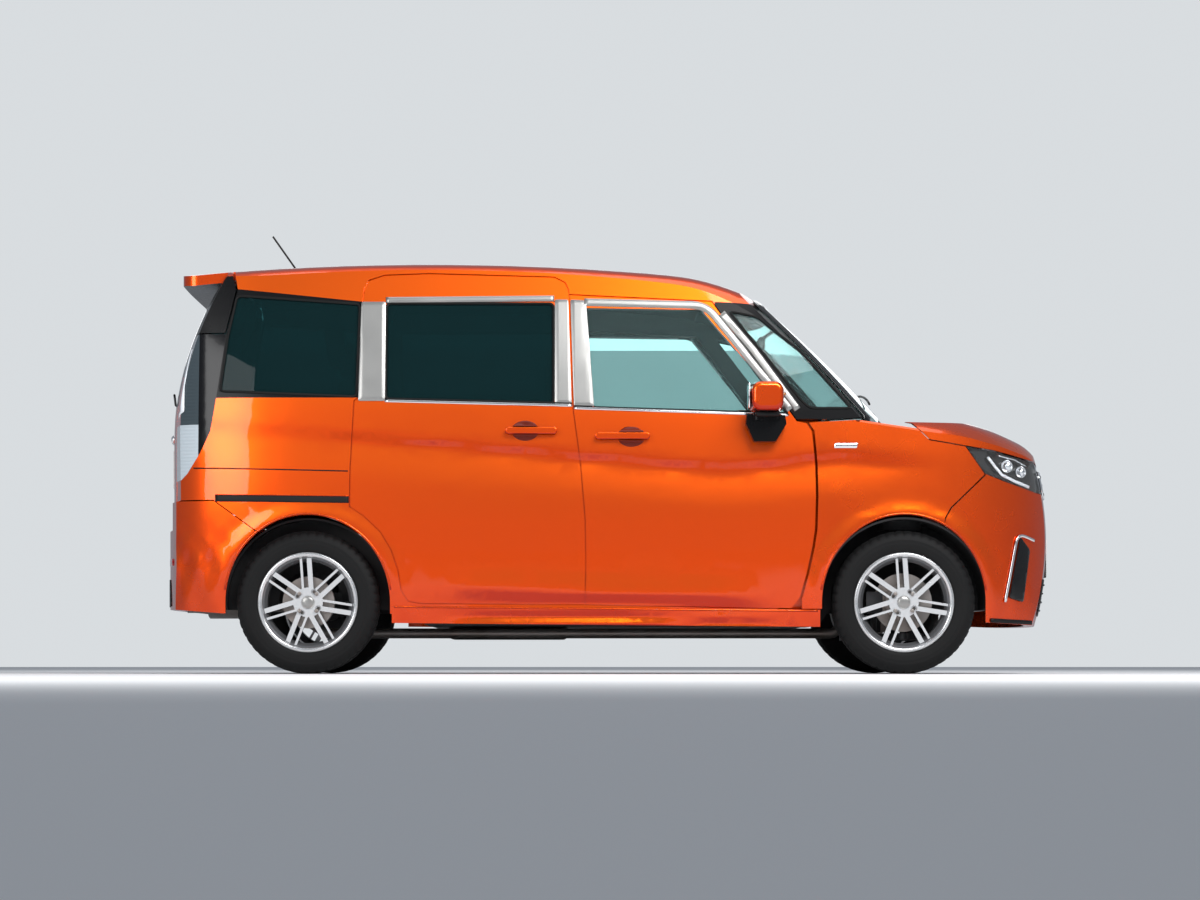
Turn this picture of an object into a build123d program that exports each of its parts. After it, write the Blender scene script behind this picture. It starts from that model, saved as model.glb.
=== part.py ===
"""Compact minivan with sliding rear doors, in millimetres.

X points forward, Y to the vehicle's left, Z up. The origin lies on the ground, midway
between the bumpers. The body skins are smooth surfaces from a few section formulas, and
the panels are cut from them, so that neighbours keep an even shut line.
"""
from build123d import *
from math import cos, pi, radians, sin, sqrt, tan
import os

os.makedirs("parts", exist_ok=True)

# Overall sizes
LENGTH = 3790
WIDTH = 1645
HEIGHT = 1745
WHEELBASE = 2480
FRONT_OVERHANG = 670
TRACK = 1440
BELT_HEIGHT = 1110
FLOOR_TOP = 250
FLOOR_THICKNESS = 45
SCREEN_TOP_HEIGHT = 1570
COWL_HEIGHT = 1112

# Wheels
TYRE_RADIUS = 298
TYRE_WIDTH = 165
BEAD_RADIUS = 190
RIM_LIP_RADIUS = 207
RIM_WIDTH = 140
HUB_RADIUS = 62
LUG_CIRCLE = 100
LUG_COUNT = 4
SPOKE_PAIRS = 7
WIDE_SPOKE = 20
NARROW_SPOKE = 10
DISC_RADIUS = 122
DRUM_RADIUS = 108

# Panels
SKIN_TOLERANCE = 0.3
SHUT_GAP = 5
HINGE_GAP = 8
DOOR_THICKNESS = 80
DOOR_LIP = 7
LIP_CLEARANCE = 6
FRAME_DEPTH = 105
FENDER_THICKNESS = 9
BUMPER_THICKNESS = 45
ROOF_THICKNESS = 35
BONNET_THICKNESS = 24
GATE_THICKNESS = 60
GLASS_THICKNESS = 6
SEAT_GAP = 0.3
HINGE_PIN_RADIUS = 3.5
HINGE_WALL = 3.5
HINGE_DEPTH = 20
HINGE_LEAD = 45
ARCH_FLARE = 7
HINGE_HEIGHTS = (FLOOR_TOP + 190, FLOOR_TOP + 440)
KNUCKLE_HEIGHT = 40

half_length = LENGTH / 2
half_width_full = WIDTH / 2
front_axle = half_length - FRONT_OVERHANG
rear_axle = front_axle - WHEELBASE
half_track = TRACK / 2
screen_top = front_axle - 535
cowl_x = front_axle - 10
arch_radius = TYRE_RADIUS + 45
lip_depth = DOOR_LIP + LIP_CLEARANCE


# Body surfaces
def smoothstep(start, end, value):
    share = min(1, max(0, (value - start) / (end - start)))
    return share * share * (3 - 2 * share)


def bump(distance, reach):
    """A rounded ridge of height 1 that fades to nothing at its reach."""
    return (1 - (distance / reach) ** 2) ** 2 if abs(distance) < reach else 0


def plan_share(x):
    """Share of the full half width at a station: full amidships, rounded at both ends."""
    nose_start = front_axle + 25
    tail_start = rear_axle + 105
    if x > nose_start:
        reach = min(0.999, (x - nose_start) / (half_length + 70 - nose_start))
        return (1 - reach ** 2.4) ** (1 / 2.4)
    if x < tail_start:
        reach = min(0.999, (tail_start - x) / (tail_start + half_length + 60))
        return (1 - reach ** 4) ** (1 / 4)
    return 1


def groove_height(x):
    """Height of the long hollow in the body side, which rises towards the tail."""
    return BELT_HEIGHT - 239 - 0.0846 * x + 95 * smoothstep(400, 1050, x)


def ridge_height(x):
    """Height of the low ridge along the bottom of the doors."""
    return FLOOR_TOP + 90 - 0.028 * x


def side_y(x, z):
    """Distance of the side skin from the middle plane."""
    inset = 22 * max(0, (640 - z) / 440) ** 2.2
    inset += 28 * min(1, max(0, (z - 640) / (BELT_HEIGHT - 640))) ** 1.6
    if z > BELT_HEIGHT:
        rise = z - BELT_HEIGHT
        inset += 0.13 * rise + 0.00012 * rise * rise
    fade = smoothstep(-1800, -600, x) * (1 - smoothstep(900, 1450, x))
    above = z - groove_height(x)
    reach = 60 if above > 0 else 140
    inset += (3 + 7 * fade) * max(0, 1 - abs(above) / reach) ** 1.3 * (1 - smoothstep(1100, 1500, x))
    between_arches = smoothstep(-870, -400, x) * (1 - smoothstep(400, 760, x))
    over_ridge = z - ridge_height(x)
    reach = 90 if over_ridge > 0 else 45
    inset -= 9 * between_arches * max(0, 1 - abs(over_ridge) / reach)
    for axle in (front_axle, rear_axle):
        radius = sqrt((x - axle) ** 2 + (z - TYRE_RADIUS) ** 2)
        inset -= ARCH_FLARE * bump(radius - arch_radius - 25, 60)
    return (half_width_full - ARCH_FLARE - inset) * plan_share(x)


def roof_z(x, y):
    """Height of the roof skin."""
    behind = (x + 750) / 1000
    drop = 45 * behind ** 2 + 480 * max(0, min(behind, 1.44) - 1) ** 2
    if behind > 1.44:
        drop = 93.3 + 92.9 + 552 * (behind - 1.44)
    shoulder = max(0, abs(y) - 600)
    return HEIGHT - drop - 0.00006 * y * y - shoulder ** 2 / 200


def screen_z(x, y):
    """Height of the windscreen, which sweeps back towards its sides."""
    ahead = x - screen_top + 115 * (y / 670) ** 2
    return SCREEN_TOP_HEIGHT - 0.85 * ahead - 0.00023 * ahead * abs(ahead)


def bonnet_z(x, y):
    """Height of the bonnet, rounded over towards the wings and the nose."""
    middle = COWL_HEIGHT - 0.135 * (x - cowl_x)
    middle -= 0.00053 * max(0, x - cowl_x - 185) ** 2 + 0.004 * max(0, x - cowl_x - 525) ** 2
    shoulder = max(0, abs(y) - 0.77 * half_width_full * plan_share(x))
    rounded = min(shoulder, 180)
    return middle - 0.00004 * y * y - rounded ** 2 / 400 - 0.9 * (shoulder - rounded)


def nose_x(y, z):
    return half_length - 0.0004 * (z - 560) ** 2 - 0.00018 * y * y


def tail_x(y, z):
    return -half_length + 17 + 0.00045 * max(0, z - 1000) ** 2 + 0.00017 * y * y


def stations(start, end, count):
    return [start + (end - start) * i / (count - 1) for i in range(count)]


def spline_face(u_values, v_values, point):
    rows = [[Vector(*point(u, v)) for v in v_values] for u in u_values]
    return Face.make_surface_from_array_of_points(rows, tol=SKIN_TOLERANCE, min_deg=3, max_deg=3)


side_skin = spline_face(stations(-half_length - 40, front_axle - 80, 64), stations(170, 1725, 56),
                        lambda x, z: (x, -side_y(x, z), z))
front_side_skin = spline_face(stations(front_axle - 500, half_length + 40, 34),
                              stations(170, 1180, 36), lambda x, z: (x, -side_y(x, z), z))
roof_skin = spline_face(stations(-half_length - 60, front_axle + 60, 40), stations(-860, 860, 33),
                        lambda x, y: (x, y, roof_z(x, y)))
screen_skin = spline_face(stations(screen_top - 160, front_axle + 60, 24), stations(-860, 860, 25),
                          lambda x, y: (x, y, screen_z(x, y)))
bonnet_skin = spline_face(stations(cowl_x - 190, half_length + 60, 26), stations(-860, 860, 33),
                          lambda x, y: (x, y, bonnet_z(x, y)))
nose_skin = spline_face(stations(-860, 860, 22), stations(150, 1050, 18),
                        lambda y, z: (nose_x(y, z), y, z))
tail_skin = spline_face(stations(-860, 860, 22), stations(150, 1780, 26),
                        lambda y, z: (tail_x(y, z), y, z))

INWARD = (0, 1, 0)
OUTWARD = (0, -1, 0)
UP = (0, 0, 1)
DOWN = (0, 0, -1)
AHEAD = (1, 0, 0)
BACK = (-1, 0, 0)


def layer(skin, direction, start, end):
    """Solid between two depths along one direction from a skin."""
    with BuildPart() as solid:
        extrude(skin.moved(Location(Vector(*direction) * start)), end - start, dir=direction)
    return solid.part


def side_prism(points, grow=0, start=0, reach=1000):
    """Solid behind a side-view outline, from near the middle plane out to the right."""
    with BuildPart() as solid:
        with BuildSketch(Plane.XZ.offset(start)):
            with BuildLine():
                Polyline(*points, close=True)
            make_face()
            if grow:
                offset(amount=grow, kind=Kind.INTERSECTION, mode=Mode.REPLACE)
        extrude(amount=reach)
    return solid.part


def finish(builder, name):
    builder.part.label = name
    export_step(builder.part, f"parts/{name}.step")


def finish_pair(right, name):
    """Export a right-hand piece and its mirror image as one node."""
    with BuildPart() as pair:
        add(right)
        mirror(about=Plane.XZ)
    finish(pair, name)


def finish_left_and_right(right, name):
    """Export a right-hand piece and its mirror image as two nodes."""
    with BuildPart() as right_piece:
        add(right)
    finish(right_piece, f"{name}_right")
    with BuildPart() as left_piece:
        mirror(right, about=Plane.XZ)
    finish(left_piece, f"{name}_left")


# Cutting tools shared by the panels
above_roof = layer(roof_skin, UP, 0, 300)
screen_space = layer(screen_skin, UP, -GLASS_THICKNESS - 3 * SEAT_GAP, 800)
above_bonnet = layer(bonnet_skin, UP, 0, 400)
below_bonnet = layer(bonnet_skin, DOWN, 0, 1000)
behind_nose = layer(nose_skin, BACK, 0, 700)
behind_tail = layer(tail_skin, AHEAD, 0, 500)
within_front_side = layer(front_side_skin, INWARD, 0, 900)
within_side = layer(side_skin, INWARD, 0, 900)


def finish_whole(right_half, name):
    """Export a right-hand half and its mirror image joined at the middle plane."""
    with BuildPart() as whole:
        add(right_half)
        mirror(about=Plane.XZ)
    finish(whole, name)

# Side shut lines, as seen from the right: first the front door, clockwise from the top rear
door_front_line = [
    (front_axle - 1393, HEIGHT - 158), (front_axle - 796, HEIGHT - 187),
    (front_axle - 446, BELT_HEIGHT - 57), (front_axle - 404, BELT_HEIGHT - 65),
    (front_axle - 381, BELT_HEIGHT - 100), (front_axle - 368, BELT_HEIGHT - 240),
    (front_axle - 366, BELT_HEIGHT - 375), (front_axle - 370, BELT_HEIGHT - 510),
    (front_axle - 381, BELT_HEIGHT - 582), (front_axle - 404, BELT_HEIGHT - 691),
    (front_axle - 431, BELT_HEIGHT - 790), (front_axle - 467, FLOOR_TOP + 21),
    (front_axle - 1327, FLOOR_TOP + 38), (front_axle - 1324, BELT_HEIGHT - 629),
    (front_axle - 1327, BELT_HEIGHT - 464), (front_axle - 1347, BELT_HEIGHT - 228),
    (front_axle - 1377, BELT_HEIGHT - 7)]
door_slide_line = [
    (rear_axle + 224, HEIGHT - 191), (rear_axle + 230, HEIGHT - 135),
    (rear_axle + 249, HEIGHT - 97), (rear_axle + 315, HEIGHT - 75),
    (rear_axle + 501, HEIGHT - 68), (front_axle - 1455, HEIGHT - 83),
    (front_axle - 1410, HEIGHT - 106), (front_axle - 1395, HEIGHT - 139),
    (front_axle - 1377, BELT_HEIGHT - 7), (front_axle - 1347, BELT_HEIGHT - 228),
    (front_axle - 1327, BELT_HEIGHT - 464), (front_axle - 1324, BELT_HEIGHT - 629),
    (front_axle - 1327, FLOOR_TOP + 38), (rear_axle + 467, FLOOR_TOP + 43),
    (rear_axle + 419, FLOOR_TOP + 53), (rear_axle + 390, FLOOR_TOP + 96),
    (rear_axle + 376, FLOOR_TOP + 182), (rear_axle + 347, FLOOR_TOP + 267),
    (rear_axle + 304, FLOOR_TOP + 339), (rear_axle + 233, FLOOR_TOP + 407),
    (rear_axle + 175, FLOOR_TOP + 445), (rear_axle + 177, BELT_HEIGHT - 256),
    (rear_axle + 192, BELT_HEIGHT + 27), (rear_axle + 208, BELT_HEIGHT + 38)]
front_window_line = [
    (front_axle - 1328, HEIGHT - 215), (front_axle - 840, HEIGHT - 222),
    (front_axle - 520, BELT_HEIGHT + 30), (front_axle - 476, BELT_HEIGHT - 35),
    (front_axle - 1290, BELT_HEIGHT - 8)]
slide_window_line = [
    (rear_axle + 324, HEIGHT - 196), (front_axle - 1458, HEIGHT - 196),
    (front_axle - 1458, BELT_HEIGHT + 14), (rear_axle + 324, BELT_HEIGHT + 34)]
quarter_window_line = [
    (rear_axle - 300, HEIGHT - 160), (rear_axle + 216, HEIGHT - 196),
    (rear_axle + 202, BELT_HEIGHT + 42), (rear_axle - 372, BELT_HEIGHT + 66),
    (rear_axle - 338, BELT_HEIGHT + 300)]
vent_window_line = [
    (front_axle - 725, HEIGHT - 228), (front_axle - 608, HEIGHT - 252),
    (front_axle - 428, BELT_HEIGHT + 238), (front_axle - 215, BELT_HEIGHT - 5),
    (front_axle - 392, BELT_HEIGHT - 5), (front_axle - 425, BELT_HEIGHT + 25)]
lamp_front_line = [
    (rear_axle - 346, HEIGHT - 324), (rear_axle - 382, BELT_HEIGHT + 59),
    (rear_axle - 395, BELT_HEIGHT - 21), (rear_axle - 409, BELT_HEIGHT - 98),
    (rear_axle - 449, BELT_HEIGHT - 184), (rear_axle - 507, BELT_HEIGHT - 274),
    (rear_axle - 534, BELT_HEIGHT - 301)]
bumper_top = BELT_HEIGHT - 390
gate_hinge_x = rear_axle - 335
hinge_x = front_axle - 366 - HINGE_LEAD - 29
hinge_y = -(half_width_full - ARCH_FLARE - HINGE_DEPTH)


def wheel_arch(axle, height_share=1.06):
    """Prism of the arch opening over a wheel."""
    with BuildPart() as solid:
        with BuildSketch(Plane.XZ):
            with Locations((axle, TYRE_RADIUS)):
                Ellipse(arch_radius, arch_radius * height_share)
            with Locations((axle, 0)):
                Rectangle(2 * arch_radius, 2 * TYRE_RADIUS)
        extrude(amount=1000)
    return solid.part


# Side frames: sill, pillars, header and rear quarter in one pressing
frame_front = front_axle - arch_radius - 10 - SEAT_GAP
frame_outline = [
    (frame_front, FLOOR_TOP), (frame_front, BELT_HEIGHT - 54),
    (front_axle - 127, BELT_HEIGHT - 40), (front_axle - 100, BELT_HEIGHT - 10),
    (screen_top + 60, HEIGHT), (gate_hinge_x + 14, HEIGHT - 20),
    (rear_axle - 300, HEIGHT - 137)]
frame_outline += [(x + SEAT_GAP, z) for x, z in lamp_front_line]
frame_outline += [(-half_length - 30, BELT_HEIGHT - 301 - SEAT_GAP), (-half_length - 30, bumper_top + SHUT_GAP),
                  (rear_axle - 393, bumper_top + SHUT_GAP), (rear_axle - 226, bumper_top - 115),
                  (rear_axle - 150, bumper_top - 170), (rear_axle - 150, FLOOR_TOP)]
SKIRT_DEPTH = 30
skirt_outline = [
    (rear_axle + 350, FLOOR_TOP + 33), (hinge_x + 90, FLOOR_TOP + 17),
    (hinge_x + 90, FLOOR_TOP - 54), (rear_axle + 350, FLOOR_TOP - 38)]
outer_tool = layer(side_skin, OUTWARD, -lip_depth, 60)
hinge_tool = layer(side_skin, OUTWARD, -(FRAME_DEPTH - 13), 60)
front_opening = side_prism(
    [(front_axle - 1358, HEIGHT - 190), (front_axle - 815, HEIGHT - 217),
     (hinge_x - 38, BELT_HEIGHT - 35), (hinge_x + 8, BELT_HEIGHT - 70),
     (hinge_x - 5, FLOOR_TOP + 350), (hinge_x - 75, FLOOR_TOP + 100),
     (front_axle - 1298, FLOOR_TOP + 100), (front_axle - 1298, BELT_HEIGHT - 500),
     (front_axle - 1345, BELT_HEIGHT - 10)])
slide_opening = side_prism(
    [(rear_axle + 262, HEIGHT - 170), (rear_axle + 300, HEIGHT - 110),
     (front_axle - 1450, HEIGHT - 115), (front_axle - 1420, BELT_HEIGHT),
     (front_axle - 1352, BELT_HEIGHT - 500), (front_axle - 1352, FLOOR_TOP + 100),
     (rear_axle + 435, FLOOR_TOP + 100), (rear_axle + 400, FLOOR_TOP + 280),
     (rear_axle + 280, FLOOR_TOP + 400), (rear_axle + 210, FLOOR_TOP + 480),
     (rear_axle + 222, BELT_HEIGHT)])
with BuildPart() as side_frame:
    add(side_prism(frame_outline))
    add(layer(side_skin, INWARD, 0, FRAME_DEPTH), mode=Mode.INTERSECT)
    add(layer(tail_skin, BACK, 0, 300), mode=Mode.SUBTRACT)
    add(above_roof, mode=Mode.SUBTRACT)
    add(screen_space, mode=Mode.SUBTRACT)
    add(wheel_arch(rear_axle), mode=Mode.SUBTRACT)
    add(front_opening, mode=Mode.SUBTRACT)
    add(slide_opening, mode=Mode.SUBTRACT)
    add(side_prism(quarter_window_line), mode=Mode.SUBTRACT)
    add(side_prism(vent_window_line), mode=Mode.SUBTRACT)
with BuildPart() as front_rebate:
    add(side_prism(door_front_line, SHUT_GAP / 2))
    add(outer_tool, mode=Mode.INTERSECT)
with BuildPart() as slide_rebate:
    add(side_prism(door_slide_line, SHUT_GAP / 2))
    add(outer_tool, mode=Mode.INTERSECT)
with BuildPart() as hinge_pocket:
    add(side_prism([(hinge_x - 85, FLOOR_TOP + 15), (hinge_x + 100, FLOOR_TOP + 15),
                    (hinge_x + 100, BELT_HEIGHT - 50), (hinge_x - 85, BELT_HEIGHT - 50)]))
    add(hinge_tool, mode=Mode.INTERSECT)
with BuildPart() as skirt_seat:
    add(side_prism(skirt_outline, SEAT_GAP))
    add(layer(side_skin, OUTWARD, -SKIRT_DEPTH - SEAT_GAP, 60), mode=Mode.INTERSECT)
with BuildPart() as roof_seat:
    with BuildSketch(Plane.XY.offset(HEIGHT - 300)):
        Rectangle(3 * LENGTH, 1200 + 2 * SEAT_GAP)
    extrude(amount=400)
with BuildPart() as side_frame_cut:
    add(side_frame.part)
    add(front_rebate.part, mode=Mode.SUBTRACT)
    add(slide_rebate.part, mode=Mode.SUBTRACT)
    add(hinge_pocket.part, mode=Mode.SUBTRACT)
    add(skirt_seat.part, mode=Mode.SUBTRACT)
    add(roof_seat.part, mode=Mode.SUBTRACT)
with BuildPart() as hinge_brackets:
    for height in HINGE_HEIGHTS:
        for side in (-1, 1):
            with BuildSketch(Plane.XY.offset(height + side * (KNUCKLE_HEIGHT / 2 + 5) - 4)):
                with Locations((hinge_x, hinge_y)):
                    Circle(HINGE_PIN_RADIUS + HINGE_WALL)
                with Locations((hinge_x, hinge_y)):
                    Rectangle(14, FRAME_DEPTH - HINGE_DEPTH - 6, align=(Align.CENTER, Align.MIN))
            extrude(amount=8)
        with BuildSketch(Plane.XY.offset(height - KNUCKLE_HEIGHT / 2 - 9)):
            with Locations((hinge_x, hinge_y)):
                Circle(HINGE_PIN_RADIUS)
        extrude(amount=KNUCKLE_HEIGHT + 18)
with BuildPart() as side_frame_hinged:
    add(side_frame_cut.part)
    add(hinge_brackets.part)
finish_pair(side_frame_hinged.part, "side_frames")

with BuildPart() as skirt:
    add(side_prism(skirt_outline))
    add(layer(side_skin, INWARD, 0, SKIRT_DEPTH), mode=Mode.INTERSECT)
    add(side_prism([(-LENGTH, 0), (LENGTH, 0), (LENGTH, FLOOR_TOP), (-LENGTH, FLOOR_TOP)],
                   reach=half_width_full - ARCH_FLARE - 30 + SEAT_GAP), mode=Mode.SUBTRACT)
finish_pair(skirt.part, "sill_skirts")

# Front doors: an outer lip over a thick inner box, with a window and a mirror each
front_lip = side_prism(door_front_line, -SHUT_GAP / 2)
front_inner = side_prism(
    [(front_axle - 1350, HEIGHT - 198), (front_axle - 820, HEIGHT - 225),
     (hinge_x - 48, BELT_HEIGHT - 43), (hinge_x - 12, BELT_HEIGHT - 75),
     (hinge_x - 12, FLOOR_TOP + 350), (hinge_x - 82, FLOOR_TOP + 108),
     (front_axle - 1290, FLOOR_TOP + 108), (front_axle - 1290, BELT_HEIGHT - 500),
     (front_axle - 1337, BELT_HEIGHT - 10)])
HANDLE_HEIGHT = 30
HANDLE_STANDOFF = 28
CUP_RADIUS = 48


def handle(cup_x, cup_z, length_back, length_front):
    """Bar handle on two feet over a round finger cup."""
    skin_y = -side_y(cup_x, cup_z)
    with BuildPart() as bar:
        with BuildSketch(Plane.XZ.offset(-skin_y + 14)):
            with Locations((cup_x + (length_front - length_back) / 2, cup_z + 6)):
                RectangleRounded(length_back + length_front, HANDLE_HEIGHT, HANDLE_HEIGHT / 2 - 1)
        extrude(amount=HANDLE_STANDOFF - 14)
        with BuildSketch(Plane.XZ.offset(-skin_y - 20)):
            with Locations((cup_x - length_back + 16, cup_z + 6), (cup_x + length_front - 26, cup_z + 6)):
                RectangleRounded(24, HANDLE_HEIGHT - 6, 8)
        extrude(amount=36)
        fillet(bar.faces().sort_by(Axis.Y)[0].edges(), radius=5)
    return bar.part


def finger_cup(cup_x, cup_z):
    """Shallow round hollow behind a handle."""
    skin_y = -side_y(cup_x, cup_z)
    with BuildPart() as cup:
        with BuildSketch(Plane.XY.offset(cup_z)):
            with BuildLine():
                Line((0, 0), (CUP_RADIUS, 0))
                ThreePointArc((CUP_RADIUS, 0), (CUP_RADIUS * 0.7, 14), (0, 20))
                Line((0, 20), (0, 0))
            make_face()
        revolve(axis=Axis((0, 0, cup_z), (0, 1, 0)))
    return cup.part.moved(Location((cup_x, skin_y, 0)))


front_cup = (front_axle - 1145, BELT_HEIGHT - 127)
slide_cup = (front_axle - 1571, BELT_HEIGHT - 105)

with BuildPart() as door_lip:
    add(front_lip)
    add(layer(side_skin, INWARD, 0, DOOR_LIP), mode=Mode.INTERSECT)
with BuildPart() as door_box:
    add(front_inner)
    add(layer(side_skin, INWARD, 2, DOOR_THICKNESS), mode=Mode.INTERSECT)
    with BuildSketch(Plane.XZ):
        with BuildLine():
            Polyline(*front_window_line, close=True)
        make_face()
    extrude(amount=1000, mode=Mode.SUBTRACT)
with BuildPart() as door:
    add(door_lip.part)
    add(side_prism(front_window_line), mode=Mode.SUBTRACT)
    add(door_box.part)
    for height in HINGE_HEIGHTS:
        with BuildSketch(Plane.XY.offset(height - KNUCKLE_HEIGHT / 2)):
            with Locations((hinge_x, hinge_y)):
                Circle(HINGE_PIN_RADIUS + HINGE_WALL)
            with Locations((hinge_x, hinge_y)):
                Rectangle(70, 14, align=(Align.MAX, Align.MIN))
        extrude(amount=KNUCKLE_HEIGHT)
    add(finger_cup(*front_cup), mode=Mode.SUBTRACT)
    add(handle(*front_cup, 140, 88))
    for height in HINGE_HEIGHTS:
        with BuildSketch(Plane.XY.offset(height - KNUCKLE_HEIGHT)):
            with Locations((hinge_x, hinge_y)):
                Circle(HINGE_PIN_RADIUS + SEAT_GAP)
        extrude(amount=2 * KNUCKLE_HEIGHT, mode=Mode.SUBTRACT)
finish_left_and_right(door.part, "front_door")

with BuildPart() as door_glass:
    add(side_prism(front_window_line, -SEAT_GAP))
    add(layer(side_skin, INWARD, DOOR_LIP, DOOR_LIP + GLASS_THICKNESS), mode=Mode.INTERSECT)
finish_left_and_right(door_glass.part, "front_door_glass")

# Sliding doors, shut on their frames
with BuildPart() as slide_lip:
    add(side_prism(door_slide_line, -SHUT_GAP / 2))
    add(layer(side_skin, INWARD, 0, lip_depth - SEAT_GAP), mode=Mode.INTERSECT)
    add(side_prism(slide_window_line), mode=Mode.SUBTRACT)
with BuildPart() as slide_box:
    add(side_prism(
        [(rear_axle + 270, HEIGHT - 178), (rear_axle + 306, HEIGHT - 120),
         (front_axle - 1457, HEIGHT - 125), (front_axle - 1428, BELT_HEIGHT),
         (front_axle - 1360, BELT_HEIGHT - 500), (front_axle - 1360, FLOOR_TOP + 108),
         (rear_axle + 443, FLOOR_TOP + 108), (rear_axle + 408, FLOOR_TOP + 284),
         (rear_axle + 288, FLOOR_TOP + 408), (rear_axle + 218, FLOOR_TOP + 484),
         (rear_axle + 230, BELT_HEIGHT)]))
    add(layer(side_skin, INWARD, 2, DOOR_THICKNESS), mode=Mode.INTERSECT)
    add(side_prism(slide_window_line), mode=Mode.SUBTRACT)
with BuildPart() as sliding_door:
    add(slide_lip.part)
    add(slide_box.part)
    add(finger_cup(*slide_cup), mode=Mode.SUBTRACT)
    add(handle(*slide_cup, 88, 128))
finish_pair(sliding_door.part, "sliding_doors")

# Fixed side glass
glass_layer = layer(side_skin, INWARD, DOOR_LIP, DOOR_LIP + GLASS_THICKNESS)
with BuildPart() as quarter_glass:
    add(side_prism(quarter_window_line, -SEAT_GAP))
    add(glass_layer, mode=Mode.INTERSECT)
with BuildPart() as slide_glass:
    add(side_prism(slide_window_line, -SEAT_GAP))
    add(glass_layer, mode=Mode.INTERSECT)
with BuildPart() as privacy_glass:
    add(quarter_glass.part)
    add(slide_glass.part)
finish_pair(privacy_glass.part, "privacy_glass")
with BuildPart() as vent_glass:
    add(side_prism(vent_window_line, -SEAT_GAP))
    add(glass_layer, mode=Mode.INTERSECT)
finish_pair(vent_glass.part, "front_quarter_glass")

# Roof panel and windscreen
with BuildPart() as roof_panel:
    with BuildSketch(Plane.XY.offset(HEIGHT - 300)):
        with BuildLine():
            Polyline((gate_hinge_x + HINGE_GAP, -600), (screen_top - 92, -600))
            ThreePointArc((screen_top - 92, -600), (screen_top - 2, 0), (screen_top - 92, 600))
            Polyline((screen_top - 92, 600), (gate_hinge_x + HINGE_GAP, 600),
                     (gate_hinge_x + HINGE_GAP, -600))
        make_face()
    extrude(amount=400)
    add(layer(roof_skin, DOWN, 0, ROOF_THICKNESS), mode=Mode.INTERSECT)
    add(screen_space, mode=Mode.SUBTRACT)
finish(roof_panel, "roof_panel")

with BuildPart() as windscreen:
    with BuildSketch(Plane.XY.offset(COWL_HEIGHT - 150)):
        with BuildLine():
            Polyline((screen_top + 12, 0), (cowl_x - 42, 0))
            ThreePointArc((cowl_x - 42, 0), (cowl_x - 60, -380), (cowl_x - 112, -745))
            Line((cowl_x - 112, -745), (screen_top - 76, -606))
            ThreePointArc((screen_top - 76, -606), (screen_top - 10, -310), (screen_top + 12, 0))
        make_face()
    extrude(amount=700)
    add(layer(screen_skin, DOWN, 0, GLASS_THICKNESS), mode=Mode.INTERSECT)
    add(layer(side_skin, INWARD, 12, 950), mode=Mode.INTERSECT)
finish_whole(windscreen.part, "windscreen")

# Front wings, bonnet, lamps and bumper
bonnet_side_line = [
    (cowl_x - 25, BELT_HEIGHT - 52), (front_axle + 36, BELT_HEIGHT - 65),
    (front_axle + 106, BELT_HEIGHT - 134), (front_axle + 253, BELT_HEIGHT - 158),
    (front_axle + 375, BELT_HEIGHT - 176), (front_axle + 515, BELT_HEIGHT - 207),
    (half_length + 30, BELT_HEIGHT - 245)]
lamp_rear_line = [(front_axle + 259, BELT_HEIGHT - 164), (front_axle + 340, BELT_HEIGHT - 277)]
bumper_seam = [
    (front_axle + 340, BELT_HEIGHT - 281), (front_axle + 195, BELT_HEIGHT - 419),
    (front_axle + 170, BELT_HEIGHT - 462), (front_axle + 160, BELT_HEIGHT - 560)]
HEEL_TOP = FLOOR_TOP + 72
fender_outline = [(x + HINGE_GAP, z) for x, z in door_front_line[3:12]]
fender_outline += [(front_axle - 300, FLOOR_TOP + 21), (front_axle - 300, FLOOR_TOP + 200),
                   (front_axle + 157, FLOOR_TOP + 300)]
fender_outline += [(x - 2, z + 2) for x, z in reversed(bumper_seam[:3])]
fender_outline += [(x - 2, z) for x, z in reversed(lamp_rear_line)]
fender_outline += [(x, z - SHUT_GAP) for x, z in reversed(bonnet_side_line[:4])]
fender_outline += [(front_axle - 127, BELT_HEIGHT - 50), (front_axle - 360, BELT_HEIGHT - 62)]
fender_heel = [(hinge_x - 30, FLOOR_TOP - 20), (hinge_x + 14, FLOOR_TOP - 20), (hinge_x + 14, HEEL_TOP - 10),
               (hinge_x + 18, HEEL_TOP), (hinge_x - 30, HEEL_TOP)]
with BuildPart() as fender:
    add(side_prism(fender_outline))
    add(layer(front_side_skin, INWARD, 0, FENDER_THICKNESS), mode=Mode.INTERSECT)
    add(wheel_arch(front_axle), mode=Mode.SUBTRACT)
    add(above_bonnet, mode=Mode.SUBTRACT)
    add(side_prism(fender_heel), mode=Mode.SUBTRACT)
finish_pair(fender.part, "front_fenders")

bonnet_outline = [(x, z) for x, z in bonnet_side_line]
bonnet_outline += [(half_length + 30, BELT_HEIGHT + 50), (cowl_x - 25, BELT_HEIGHT + 50)]
front_space = side_prism([(cowl_x - 100, 180), (half_length + 30, 180),
                          (half_length + 30, BELT_HEIGHT + 60), (cowl_x - 100, BELT_HEIGHT + 60)],
                         start=-20)
with BuildPart() as bonnet_core:
    add(front_space)
    add(layer(front_side_skin, INWARD, 16, 950), mode=Mode.INTERSECT)
    add(layer(bonnet_skin, DOWN, BONNET_THICKNESS, 600), mode=Mode.INTERSECT)
    add(layer(nose_skin, BACK, 30, 800), mode=Mode.INTERSECT)
with BuildPart() as bonnet:
    add(side_prism(bonnet_outline))
    add(within_front_side, mode=Mode.INTERSECT)
    add(below_bonnet, mode=Mode.INTERSECT)
    add(behind_nose, mode=Mode.INTERSECT)
    add(bonnet_core.part, mode=Mode.SUBTRACT)
finish_whole(bonnet.part, "bonnet")

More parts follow.
